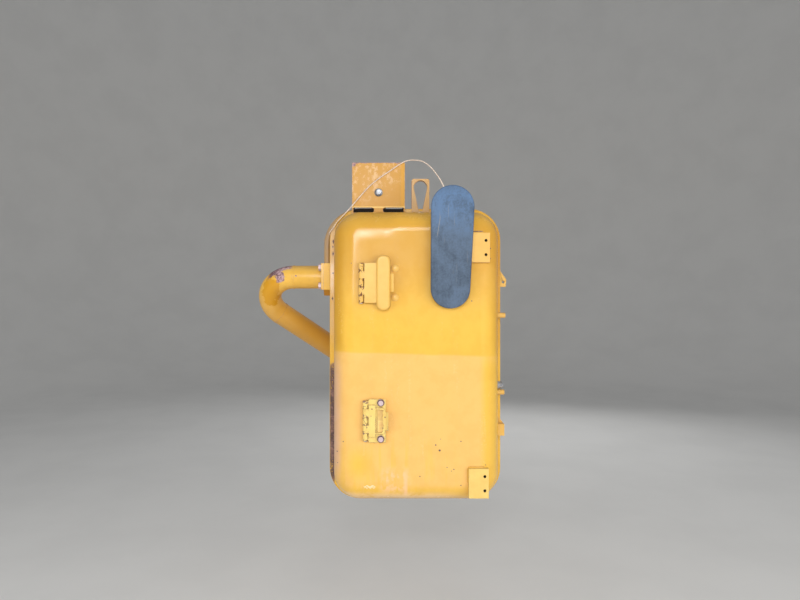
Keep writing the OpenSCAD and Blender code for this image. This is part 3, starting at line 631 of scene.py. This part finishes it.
def guardTone(f, colour, patchy, fine):
    # the sheet of the breather guard has blistered and turned pink in places
    blotch = f.ease(f.cloud(64, 5, 0.75, pull=(1.0, 1.0, 0.7)), 0.53, 0.58)
    blotch = blotch * f.ease(f.z - f.x * 0.5 + (patchy - 0.5) * 0.10, 0.62, 0.72)
    # painted shade: a darker ochre strip down the guard's right side, with a dark line at its left edge
    return layered(
        f, colour,
        ("guard", 0.85),
        ("tan", f.band(f.x, -0.0575, -0.0535, 0.0012) * 0.55),
        ("blister", blotch * 0.85),
        ("bloom", f.ease(fine * 0.5 + patchy * 0.5, 0.52, 0.62) * 0.12),
        ("ochre", f.ease(f.x, -0.062, -0.050) * 0.6),
        ("cream", f.band(f.z, 0.5410, 0.5465, 0.0012) * 0.8),
    )


def guardRusty(f, patchy, fine):
    # bare along the front of its top and at the outer corner, and in patches behind that
    low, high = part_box("breather_guard")
    torn = (f.cloud(85, 4, 0.7) - 0.5) * 0.022
    top = f.ease(high.z - f.z + torn, 0.0030, 0.0012)
    top = top * f.most(f.ease(f.y, low.y + 0.010, low.y + 0.004), f.ease(f.cloud(38, 4, 0.65), 0.52, 0.56))
    corner = f.spot(low.x, high.z, 0.026, 0.5) * f.ease(torn, -0.0010, 0.0012)
    return f.most(top * 0.9, corner)


def blockTone(f, colour, patchy, fine):
    # the chamfered foot, which faces down, is darker as painted shade
    return layered(f, colour, ("block", 0.80), ("blockFootShade", f.ease(f.z, 0.241, 0.236) * 0.90))


pipeLook = {
    "patch": (-0.556, 0.236),       # x and z of the repainted patch
    "patchHalf": (0.037, 0.054),    # half its width and height
    "patchLean": 0.12,
    "bare": (-0.560, -0.474),       # x from and to, along the top of the bend
    "blob": (-0.514, 0.286),        # x and z
    "fleck": (-0.452, 0.292, 0.004),    # x, z and radius
}


def pipeTone(f, colour, patchy, fine):
    # a patch was painted over on the bend; the leg below is darker, partly dust and partly painted shade
    x, z = pipeLook["patch"]
    wide, tall = pipeLook["patchHalf"]
    dx = (f.x - x - (f.z - z) * pipeLook["patchLean"]) / wide
    dz = (f.z - z) / tall
    reach = dx * dx + dz * dz + (f.cloud(36, 3) - 0.5) * 2.4
    patch = f.ease(reach, 1.0, 0.85) * f.ease(f.facing((0, -1, 0)), -0.1, 0.1)
    return layered(
        f, colour,
        ("yellow", f.ease(f.z, 0.20, 0.26) * 0.55),
        ("tan", f.ease(f.z, 0.20, 0.06) * 0.45),
        ("ochre", f.ease(f.z, 0.22, 0.10) * 0.35),
        ("repaint", patch * 0.95),
    )


def pipeRusty(f, patchy, fine):
    # bare along the top of the bend, a blob below that, and one fleck
    ragged = (f.cloud(58, 4) - 0.5) * 1.4 + (fine - 0.5) * 0.4
    low = 0.62 - f.ease(f.x, -0.490, -0.530) * 0.22
    up = f.facing((-0.30, 0.0, 0.95)) + ragged * 0.30
    top = f.ease(up - low, 0.0, 0.10) * f.band(f.x, *pipeLook["bare"], 0.012)
    torn = ragged * 0.020 + (f.cloud(120, 3, 0.7) - 0.5) * 0.030
    blob = f.ease(f.away(*pipeLook["blob"]) + torn, 0.021, 0.017)
    blob = blob * f.ease(f.facing((0, -1, 0.4)), 0.2, 0.4)
    return f.most(f.most(top, blob), f.spot(*pipeLook["fleck"], 0.4))


hingeLook = {
    "upper": (-0.197, 0.260),   # x and z of the pin's middle
    "lower": (-0.182, -0.224),
    "half": 0.070,              # half the hinge's height
    "knuckle": 0.028,
    "spots": [                  # x, z and radius of the rust dots round the lower window
        (-0.159, -0.182, 0.0036), (-0.162, -0.206, 0.0024), (-0.113, -0.210, 0.0036),
        (-0.106, -0.185, 0.0022), (-0.120, -0.248, 0.0026), (-0.168, -0.147, 0.0024),
    ],
}


def hingeRusty(x, z):
    # the knuckles have rubbed bare where they meet
    def marks(f, patchy, fine):
        place = f.maths("FRACT", (f.z - z + hingeLook["half"]) / hingeLook["knuckle"])
        joint = f.size(place - 0.5) * 2.0
        speck = f.cloud(150, 3, 0.6)
        worn = f.ease(joint * 0.5 + (patchy - 0.5) * 1.2 + (speck - 0.5) * 3.4, 0.44, 0.56)
        return worn * f.ease(f.size(f.x - x), 0.0125, 0.0100)
    return marks


def leafRusty(f, patchy, fine):
    marks = hingeRusty(*hingeLook["lower"])(f, patchy, fine)
    for x, z, radius in hingeLook["spots"]:
        marks = f.most(marks, f.spot(x, z, radius, 0.6) * 0.8)
    return marks


paintJobs = {
    # finish: wear, dusty and specks, then the rest by name
    "frontPaint": (0.35, 0.25, 0.10, {
        "tone": frontTone, "rusty": frontRusty, "gloss": 0.15, "sheen": 0.17, "dents": 0.006, "age": 0.03,
        "form": crown, "oily": shadeUnderGuard, "iron": ("darkRust", "oldRust"),
    }),
    "tankPaint": (0.65, 0.80, 0.40, {
        "tone": backTone, "rusty": backRusty, "dents": 0.004, "oily": shadeUnderGuard,
    }),
    "barPaint": (0.75, 0.95, 0.45, {"tone": toned("deep", 0.3)}),
    "blockPaint": (0.50, 0.15, 0.20, {"tone": blockTone, "gloss": 0.10}),
    "padPaint": (0.50, 0.30, 0.25, {"tone": toned("pale", 0.60), "oily": holeShadowsAt(0.241, 0.384)}),
    "lowPadPaint": (0.50, 0.30, 0.25, {"tone": toned("lemon", 0.60), "oily": holeShadowsAt(0.237, -0.444)}),
    "eyePaint": (0.60, 0.50, 0.20, {"tone": toned("earth", 0.80)}),
    "guardPaint": (1.00, 0.30, 0.25, {
        "tone": guardTone, "rusty": guardRusty, "gloss": 0.05, "sheen": 0.45, "grain": 0.00022,
        "oily": guardInsideShade, "iron": ("plumRust", "roseRust"),
    }),
    "coverPaint": (0.40, 0.30, 0.15, {
        "tone": toned("cream", 0.40), "rusty": hingeRusty(*hingeLook["upper"]), "iron": ("redRust", "rust"),
    }),
    "leafPaint": (0.85, 0.45, 0.80, {"tone": toned("lemon", 0.85), "rusty": leafRusty}),
    "fittingPaint": (0.50, 0.45, 0.20, {"tone": toned("cream", 0.25)}),
    "pipePaint": (0.45, 0.55, 0.18, {"tone": pipeTone, "rusty": pipeRusty, "iron": ("plumRust", "roseRust")}),
    "ventPaint": (0.80, 1.00, 0.40, {"tone": toned("putty", 0.85), "gloss": 0.0}),
    "weldPaint": (0.50, 0.40, 0.40, {"tone": toned("yellow", 0.30), "oily": shadeUnderGuard}),
}

wornSteelLook = {
    "bare": (0.56, 0.49, 0.47),
    "grey": (0.50, 0.45, 0.40),
    "rust": (0.22, 0.11, 0.085),
    "rose": (0.76, 0.53, 0.57),
    "shadedFlank": (0.10, 0.052, 0.055),
    "paint": (0.78, 0.425, 0.052),
    "grimeAndShade": (0.055, 0.030, 0.028),
}


def wornSteel(name, paintLeft, rustiness, flankShade=0.0, bright="rose"):
    # old steel with what is left of its paint; the number after rustiness: how far painted shade
    # darkens it where it doesn't face the front; bright: the shade where it is rubbed
    f = Finish(name)
    c = wornSteelLook
    patchy = f.cloud(70, 5, 0.65)
    fine = f.cloud(300, 4, 0.6)
    edge = f.ease(f.corners(0.002), 0.02, 0.20)
    rusty = f.ease(patchy * 0.6 + fine * 0.4 - edge * 0.06, 0.66 - 0.25 * rustiness, 0.74 - 0.20 * rustiness)
    colour = f.mix(c["bare"], c[bright], f.ease(fine, 0.35, 0.60) * 0.9)
    colour = f.mix(colour, c["rust"], rusty * 0.85)
    kept = f.ease(patchy - edge * 0.30 + (fine - 0.5) * 0.3, 0.72 - 0.42 * paintLeft, 0.76 - 0.42 * paintLeft)
    colour = f.mix(colour, c["paint"], kept)
    # painted shade: the sides that don't face the front are darkened
    if flankShade:
        colour = f.mix(colour, c["shadedFlank"], f.ease(f.facing((0, -1, 0)), 0.97, 0.86) * flankShade)
    # grime and painted shade in the hollows
    grimeAndShade = f.ease(f.hollows(0.008), 0.30, 0.85)
    colour = f.mix(colour, c["grimeAndShade"], grimeAndShade * 0.9)
    return f.finish(
        Base_Color=colour,
        Metallic=(1 - kept) * (1 - rusty) * (1 - grimeAndShade) * 0.35,
        Roughness=f.least(0.42 + rusty * 0.40 + fine * 0.15, 1.0),
        Normal=f.bump(patchy * 0.00020 + fine * 0.00012 + kept * 0.00015, 1.0),
    )


zincLook = {
    "bolt": (0.46, 0.47, 0.50),
    "washer": (0.20, 0.21, 0.22),
    "grimeAndShade": (0.09, 0.07, 0.06),
    "dulled": 0.58,     # how bright it still is where it has dulled
}


def zincPlate(name, shade):
    f = Finish(name)
    light = zincLook[shade]
    dull = f.ease(f.cloud(60, 4), 0.40, 0.70)
    colour = f.mix(light, tuple(zincLook["dulled"] * k for k in light), dull)
    # grime and painted shade in the hollows
    grimeAndShade = f.ease(f.hollows(0.008), 0.30, 0.90)
    return f.finish(
        Base_Color=f.mix(colour, zincLook["grimeAndShade"], grimeAndShade * 0.8),
        Metallic=0.60,
        Roughness=0.36 + dull * 0.25,
        Normal=f.bump(f.cloud(500, 2), 0.0001),
    )


lensLook = {
    "clear": (0.90, 0.64, 0.22),
    "stained": (0.74, 0.43, 0.13),
    "oil": (0.50, 0.27, 0.07),
    "grimeAndShade": (0.20, 0.10, 0.04),
    "rate": 2.066,      # the oil's level repeats once from one gauge to the other, 0.484 m
    "start": 0.4628,
}


def gaugeLens(name, look):
    # a yellowed glass with a tide line where the oil stands
    f = Finish(name)
    stain = f.cloud(30, 4)
    colour = f.mix(look["clear"], look["stained"], f.ease(stain, 0.40, 0.75))
    lowOil = f.ease(f.maths("FRACT", f.z * look["rate"] + look["start"]), 0.30, 0.28)
    colour = f.mix(colour, look["oil"], lowOil * 0.30)
    # grime and painted shade in the hollows round the glass
    colour = f.mix(colour, look["grimeAndShade"], f.ease(f.hollows(0.010), 0.40, 0.95) * 0.7)
    return f.finish(
        Base_Color=colour,
        Roughness=0.22 + stain * 0.25,
        Normal=f.bump(f.cloud(90, 2), 0.0002),
        Coat_Weight=0.6,
        Coat_Roughness=0.12,
    )


rubberLook = {
    "dark": (0.050, 0.072, 0.105),
    "worn": (0.094, 0.132, 0.192),
    "bloom": (0.110, 0.205, 0.375),
    "dust": (0.30, 0.28, 0.25),
    "scratch": (0.074, 0.455),      # x and z of a point on the long scratch
    "scratchEnds": (0.424, 0.490),
}


def oldRubber(name, look):
    f = Finish(name)
    broad = f.cloud(9, 5, 0.62)
    fine = f.cloud(150, 5, 0.68)
    grain = f.cloud(46, 4, 0.6, pull=(1.5, 1.0, 0.50))
    high = f.ease(f.z, 0.38, 0.58)
    mottle = broad * 0.45 + fine * 0.30 + grain * 0.25
    colour = f.mix(look["dark"], look["worn"], f.ease(mottle, 0.36, 0.58))
    bloom = f.ease(mottle + high * 0.16, 0.46, 0.74)
    colour = f.mix(colour, look["bloom"], bloom * (0.25 + high * 0.45))
    top = f.ease(f.z, 0.560, 0.603)
    colour = f.mix(colour, look["dark"], top * f.ease(broad, 0.40, 0.64) * 0.55)
    rim = f.ease(f.corners(0.004), 0.02, 0.25)
    colour = f.mix(colour, look["dust"], rim * f.ease(fine, 0.30, 0.55) * 0.55)
    # one long scratch at the upper left
    x, z = look["scratch"]
    aside = f.x - x - (f.z - z) * 0.16 + (fine - 0.5) * 0.0012
    scratch = f.ease(f.size(aside), 0.0014, 0.0005) * f.band(f.z, *look["scratchEnds"], 0.012)
    thin = f.ease(f.cloud(70, 2, 0.5, pull=(3.4, 1.0, 0.10)), 0.68, 0.72)
    marks = f.most(scratch, thin * 0.6)
    colour = f.mix(colour, look["dust"], marks * 0.75)
    return f.finish(
        Base_Color=colour,
        Roughness=0.52 + fine * 0.20,
        Normal=f.bump(broad * 0.0007 + fine * 0.00025 - marks * 0.0002, 1.0),
        Specular_IOR_Level=0.35,
    )


def paleWire(name, look):
    f = Finish(name)
    fine = f.cloud(220, 3)
    return f.finish(
        Base_Color=f.mix(look["bright"], look["dull"], f.ease(fine, 0.42, 0.70)),
        Roughness=0.5,
        Normal=f.bump(fine, 0.0002),
    )


def studioFloor(name, colour):
    f = Finish(name)
    return f.finish(
        Base_Color=f.mix(colour, tuple(0.96 * k for k in colour), f.ease(f.cloud(2, 5), 0.35, 0.70)),
        Roughness=0.8,
    )


finishes = {name: machinePaint(name, *basics, **rest) for name, (*basics, rest) in paintJobs.items()}
finishes["wornSteel"] = wornSteel("wornSteel", 0.45, 0.6, bright="grey")
finishes["boltSteel"] = wornSteel("boltSteel", 0.05, 0.35)
finishes["gaugeBolt"] = wornSteel("gaugeBolt", 0.0, 0.30, 0.90)
finishes["washer"] = wornSteel("washer", 0.10, 1.0)
finishes["zinc"] = zincPlate("zinc", "bolt")
finishes["zincWasher"] = zincPlate("zincWasher", "washer")
finishes["lens"] = gaugeLens("gaugeLens", lensLook)
finishes["rubber"] = oldRubber("oldRubber", rubberLook)
finishes["wire"] = paleWire("paleWire", wireLook)
stage.data.materials.append(studioFloor("studioFloor", stageLook["colour"]))
padWire.data.materials.append(finishes["wire"])
print("finishes made")


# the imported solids

dressLook = {
    # finish: width of the broken edge in metres, and the nodes
    "frontPaint": (0.0012, ("front_shell",)),
    "tankPaint": (0.0012, ("rear_shell", "suction_port")),
    "barPaint": (0.0012, ("upper_mount_bar", "lower_mount_bar")),
    "blockPaint": (0.0012, ("port_block",)),
    "padPaint": (0.0010, ("upper_pad",)),
    "lowPadPaint": (0.0010, ("lower_pad",)),
    "eyePaint": (0.0010, ("lifting_eye",)),
    "guardPaint": (0.0008, ("breather_guard", "guard_post")),
    "coverPaint": (0.0008, ("upper_guard", "upper_hinge", "upper_gauge", "guard_stops")),
    "leafPaint": (0.0006, ("lower_guard", "lower_hinge", "lower_gauge")),
    "fittingPaint": (0.0010, ("upper_side_lug", "lower_side_lug", "level_port", "sample_port")),
    "pipePaint": (0.0010, ("return_pipe",)),
    "ventPaint": (0.0008, ("vent_tube",)),
    "wornSteel": (0.0006, ("upper_hinge_pin", "lower_hinge_pin", "filler_cap", "drain_plug")),
    "zinc": (0.0006, ("temperature_sender",)),
    "lens": (0.0006, ("upper_glass", "lower_glass")),
}


edgeLook = {
    "join": 0.00002,    # packed faces this close are joined
    "segments": 2,
    "angle": 38,        # degrees between the faces of an edge that is broken
    "boltAngle": 25,
}


def breakEdges(piece, width, angle):
    broken = piece.modifiers.new("edges", "BEVEL")
    broken.width = width
    broken.segments = edgeLook["segments"]
    broken.limit_method = "ANGLE"
    broken.angle_limit = math.radians(angle)
    shade = piece.modifiers.new("shade", "WEIGHTED_NORMAL")
    shade.keep_sharp = True


def dressNodes(look):
    for finish, (width, names) in look.items():
        for name in names:
            piece = nodes[name]
            piece.data.materials.clear()
            piece.data.materials.append(finishes[finish])
            joined = piece.modifiers.new("join", "WELD")
            joined.merge_threshold = edgeLook["join"]
            breakEdges(piece, width, edgeLook["angle"])


dressNodes(dressLook)
print("packed solids dressed")


# new pieces of mesh

def meshPiece(name, bm, finish):
    # a new piece, fixed to the tank as all of them are
    bmesh.ops.recalc_face_normals(bm, faces=bm.faces)
    piece = addMesh(name, bm)
    piece.data.materials.append(finishes[finish])
    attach(piece, "root")
    return piece


# the hanging rubber pad

padLook = {
    "top": 0.602,
    "x": 0.1235,
    "width": 0.152,     # at the top
    "foot": 0.138,      # width at the foot
    "length": 0.432,
    "back": -0.4753,
    "thick": 0.012,
    "round": 0.0042,    # radius of the worn edge
    "roundSteps": 4,
    "crown": 0.0012,    # how much the middle of the face stands out
    "sway": 0.0008,     # how uneven the sheet is
    "tilt": 1.6,        # degrees that it hangs askew
    "around": 144,      # points round the outline
    "inward": 16,       # rings from the middle line to the rim
}


def padOutline(look):
    # the round ends and the straight sides between, each point with the one on the middle line that it faces
    r1 = look["width"] / 2
    r2 = look["foot"] / 2
    span = look["length"] - r1 - r2
    lean = math.asin((r1 - r2) / span)
    quarter = look["around"] // 4
    points = []
    ends = ((r1, 0.0, -lean), (r2, -span, math.pi + lean), (r1, 0.0, 2 * math.pi - lean))
    for (r, z, start), (nextR, nextZ, stop) in zip(ends, ends[1:]):
        for k in range(quarter + 1):
            turn = start + (stop - start) * k / quarter
            points.append(((r * math.cos(turn), z + r * math.sin(turn)), (0.0, z)))
        for k in range(1, quarter):
            out = r + (nextR - r) * k / quarter
            mid = z + (nextZ - z) * k / quarter
            points.append(((out * math.cos(stop), mid + out * math.sin(stop)), (0.0, mid)))
    return points


def makeRubberPad(look):
    outline = padOutline(look)
    half = look["thick"] / 2
    r = look["round"]
    shares = [k / look["inward"] for k in range(look["inward"])]
    turns = [math.radians(90) * k / look["roundSteps"] for k in range(look["roundSteps"] + 1)]
    # each ring: how far out from the middle line, how far in from the rim, and how far from mid thickness
    rings = [(out, 0.0, half) for out in shares]
    rings += [(1.0, r * (1 - math.sin(turn)), half - r * (1 - math.cos(turn))) for turn in turns]
    rings += [(1.0, r * (1 - math.cos(turn)), -(half - r) - r * math.sin(turn)) for turn in turns]
    rings += [(out, 0.0, -half) for out in reversed(shares)]
    bm = bmesh.new()
    loops = []
    for out, inset, depth in rings:
        loop = []
        for (ex, ez), (mx, mz) in outline:
            edge = Vector((ex - mx, ez - mz))
            reach = (edge.length - r) * out if inset == 0.0 and out < 1.0 else edge.length - inset
            spot = Vector((mx, mz)) + edge.normalized() * reach
            crown = look["crown"] * (1 - min(reach / (look["width"] / 2), 1) ** 2)
            sway = look["sway"] * noise.noise(Vector((spot.x * 9, depth * 40, spot.y * 7)))
            side = 1 if depth > 0 else 0
            loop.append(bm.verts.new((spot.x, -(depth + sway) - crown * side, spot.y)))
        loops.append(loop)
    skin(bm, loops, closed=False)
    bmesh.ops.remove_doubles(bm, verts=bm.verts, dist=0.00001)
    place = Matrix.Translation((look["x"], look["back"] - half, look["top"] - look["width"] / 2))
    place = place @ Matrix.Rotation(math.radians(look["tilt"]), 4, "Y")
    bm.transform(place)
    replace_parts(meshPiece("rubberPad", bm, "rubber"), "rubber_pad")


makeRubberPad(padLook)
print("rubber pad made")


# bolts

gaugeBoltLook = {
    "finish": "gaugeBolt", "washerFinish": "washer", "slot": "worn_steel",
    "flat": 0.0220,         # across flats, in metres as the rest
    "head": 0.0080,         # height of the head
    "washer": 0.0130,       # the washer's radius
    "thick": 0.0025,        # the washer's thickness
    "cone": 0.80,           # share of the head's width that its cone leaves flat
}
boltLook = {
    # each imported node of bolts; shank and reach are the radius and length of a shank that shows
    "upper_gauge_bolts": gaugeBoltLook,
    "lower_gauge_bolts": gaugeBoltLook,
    "guard_bolt": {
        "finish": "zinc", "washerFinish": "zincWasher", "slot": "zinc", "flat": 0.0192, "head": 0.0078,
        "washer": 0.0150, "thick": 0.0025, "shank": 0.0059, "reach": 0.0170, "cone": 0.93,
    },
    "flange_bolts": {
        "finish": "boltSteel", "slot": "worn_steel", "flat": 0.0240, "head": 0.0104, "shank": 0.0079,
        "reach": 0.0340, "cone": 0.93,
        "pattern": (0.06035, 0.03495),      # half the distances between the flange's holes
    },
}
headLook = {
    "sides": 48,
    "foot": 0.96,       # width of the ring below the head, as a share of the head's
    "rise": 0.0005,     # height of that ring
    "slope": 0.62,      # of the cone
    "dish": 0.62,       # width of the sunk middle of the top, as a share of the head's
    "sink": 0.0004,
    "edge": 0.0003,     # width of the broken edge
}


def loft(bm, place, rings):
    # a closed skin over rings of equal count, each (radius at a turn, height at a turn)
    made = []
    for reach, height in rings:
        made.append([bm.verts.new(place @ Vector((reach(t) * math.cos(t), reach(t) * math.sin(t), height(t))))
                     for t in turnsRound(headLook["sides"])])
    skin(bm, made, closed=True)


def level(value):
    return lambda turn: value


def layWasher(bm, place, reach, thick):
    soft = thick * 0.3
    rings = ((reach, 0.0), (reach, thick - soft), (reach - soft, thick))
    loft(bm, place, [(level(r), level(h)) for r, h in rings])


def layBolt(bm, place, look, turn):
    # hexagon head with its corners cut back by a cone, and shank, on a washer that stands on z = 0
    half = look["flat"] / 2
    seat = look.get("thick", 0.0)
    top = seat + look["head"]
    rise = seat + headLook["rise"]
    foot = level(half * headLook["foot"])

    def hexagon(t):
        return half / math.cos((t + turn) % (math.pi / 3) - math.pi / 6)

    def cutBack(t):
        return top - (hexagon(t) - half * look["cone"]) * headLook["slope"]

    loft(bm, place, [(foot, level(seat)), (foot, level(rise)), (hexagon, level(rise + 0.0001)),
                     (hexagon, cutBack), (level(half * look["cone"]), level(top)),
                     (level(half * headLook["dish"]), level(top - headLook["sink"]))])
    if "reach" in look:
        loft(bm, place, [(level(look["shank"]), level(-look["reach"])), (level(look["shank"]), level(0.0))])


def boltSpots(name, look):
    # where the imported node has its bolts, and how they face
    low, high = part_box(name)
    middle = (low + high) / 2
    toFront = Matrix.Rotation(math.radians(90), 4, "X")
    toLeft = Matrix.Rotation(math.radians(-90), 4, "Y")
    if name == "flange_bolts":
        seat = low.x + look["head"]
        across, up = look["pattern"]
        return [(Vector((seat, middle.y + side * across, middle.z + row * up)), toLeft)
                for side in (-1, 1) for row in (-1, 1)]
    if name == "guard_bolt":
        return [(Vector((middle.x, high.y - look["reach"], middle.z)), toFront)]
    inset = look["washer"]
    return [(Vector((middle.x, high.y, z)), toFront) for z in (low.z + inset, high.z - inset)]


def makeBolts():
    draw = random.Random(5)
    for name, look in boltLook.items():
        bolts = bmesh.new()
        washers = bmesh.new()
        for spot, turned in boltSpots(name, look):
            place = Matrix.Translation(spot) @ turned
            layBolt(bolts, place, look, draw.uniform(0, math.pi / 3))
            if "washer" in look:
                layWasher(washers, place, look["washer"], look["thick"])
        pieces = [meshPiece(name + "Dressed", bolts, look["finish"])]
        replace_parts(pieces[0], name)
        if "washer" in look:
            pieces.append(meshPiece(name + "Washers", washers, look["washerFinish"]))
        for piece in pieces:
            breakEdges(piece, headLook["edge"], edgeLook["boltAngle"])


# welds

weldLook = {
    "sides": 8,
    "step": 0.0011,
    "ripple": 0.0034,   # distance between two ripples of a bead
    "swell": 0.13,      # how much a ripple stands out, as a share of the bead
    "uneven": 0.12,
    "padShort": 0.020,      # how far before the upper pad's end its bead stops
    "lowPadShort": 0.012,
    "lowPadFoot": -0.445,   # where the lower pad's upright bead begins, over the rolled edge
    "lugShort": 0.003,
    "portFoot": 0.022,      # width of the port block's chamfer
    "seamCorner": 0.114,    # radius of the seam flange's corners
    "seamSteps": 12,        # to each corner
    "seamInset": 0.0010,
    "seamSunk": 0.0002,
    "radius": {             # of each bead
        "padTop": 0.0042, "padSide": 0.0032, "lowPadTop": 0.0040, "lowPadSide": 0.0036, "eye": 0.0040,
        "port": 0.0044, "lug": 0.0034, "bar": 0.0042, "seam": 0.0026,
    },
}


def layBead(bm, corners, kind, seed):
    # a rippled bead along a line of corners
    points = [Vector(corner) for corner in corners]
    radius = weldLook["radius"][kind]
    draw = random.Random(seed)
    line = []
    for a, b in zip(points, points[1:]):
        count = max(1, round((b - a).length / weldLook["step"]))
        line += [a + (b - a) * (k / count) for k in range(count)]
    line.append(points[-1])
    phase = draw.uniform(0, 6)
    travel = 0.0
    rings = []
    for i, spot in enumerate(line):
        before = line[max(i - 1, 0)]
        after = line[min(i + 1, len(line) - 1)]
        along = (after - before).normalized()
        across = along.orthogonal().normalized()
        up = along.cross(across)
        travel += (spot - before).length
        end = min(i, len(line) - 1 - i) * weldLook["step"] / radius
        taper = math.sqrt(max(0.0, 1 - (1 - min(end, 1)) ** 2)) * 0.85 + 0.15
        swell = 1 + weldLook["swell"] * abs(math.sin(math.pi * travel / weldLook["ripple"] + phase))
        swell += weldLook["uneven"] * noise.noise(spot * 130 + Vector((seed, 0, 0)))
        reach = radius * taper * swell
        rings.append([bm.verts.new(spot + (across * math.cos(t) + up * math.sin(t)) * reach)
                      for t in turnsRound(weldLook["sides"])])
    skin(bm, rings, closed=True)


def boxWelds():
    # beads round the pads, the eye, the port block, the lugs and the bars
    bm = bmesh.new()
    look = weldLook
    low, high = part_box("upper_pad")
    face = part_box("front_shell")[0].y
    layBead(bm, [(low.x, face, high.z), (high.x - look["padShort"], face, high.z)], "padTop", 1)
    layBead(bm, [(low.x, face, low.z), (low.x, face, high.z)], "padSide", 2)
    low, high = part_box("lower_pad")
    layBead(bm, [(low.x, face, high.z), (high.x - look["lowPadShort"], face, high.z)], "lowPadTop", 3)
    layBead(bm, [(low.x, face, look["lowPadFoot"]), (low.x, face, high.z)], "lowPadSide", 4)
    low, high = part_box("lifting_eye")
    for y in (low.y, high.y):
        layBead(bm, [(low.x, y, low.z), (high.x, y, low.z)], "eye", 5)
    low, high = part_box("port_block")
    foot = look["portFoot"]
    ring = [(low.y, low.z + foot), (low.y + foot, low.z), (high.y - foot, low.z), (high.y, low.z + foot),
            (high.y, high.z), (low.y, high.z), (low.y, low.z + foot)]
    layBead(bm, [(high.x, y, z) for y, z in ring], "port", 6)
    low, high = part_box("upper_side_lug")
    short = look["lugShort"]
    layBead(bm, [(low.x, low.y, low.z + short), (low.x, low.y, high.z - short)], "lug", 7)
    low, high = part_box("lower_side_lug")
    ring = [(low.y, high.z - 0.004), (low.y, low.z), (high.y, low.z)]
    layBead(bm, [(low.x, y, z) for y, z in ring], "lug", 8)
    for name, seed in (("upper_mount_bar", 9), ("lower_mount_bar", 11)):
        low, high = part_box(name)
        for k, z in enumerate((low.z, high.z)):
            layBead(bm, [(low.x, low.y, z), (high.x, low.y, z)], "bar", seed + k)
    meshPiece("welds", bm, "weldPaint")


def seamBead():
    # the bead that joins the two halves' flanges all round
    bm = bmesh.new()
    low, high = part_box("front_shell")
    corner = weldLook["seamCorner"]
    reach = corner - weldLook["seamInset"]
    edge = high.y - weldLook["seamSunk"]
    points = []
    for x, z, start in ((high.x, high.z, 0), (low.x, high.z, 90), (low.x, low.z, 180), (high.x, low.z, 270)):
        cx = x - math.copysign(corner, x)
        cz = z - math.copysign(corner, z)
        for k in range(weldLook["seamSteps"] + 1):
            turn = math.radians(start + 90 * k / weldLook["seamSteps"])
            points.append((cx + reach * math.cos(turn), edge, cz + reach * math.sin(turn)))
    layBead(bm, points + points[:1], "seam", 21)
    meshPiece("seamBead", bm, "weldPaint")


boxWelds()
seamBead()
makeBolts()
print("welds and bolts laid")
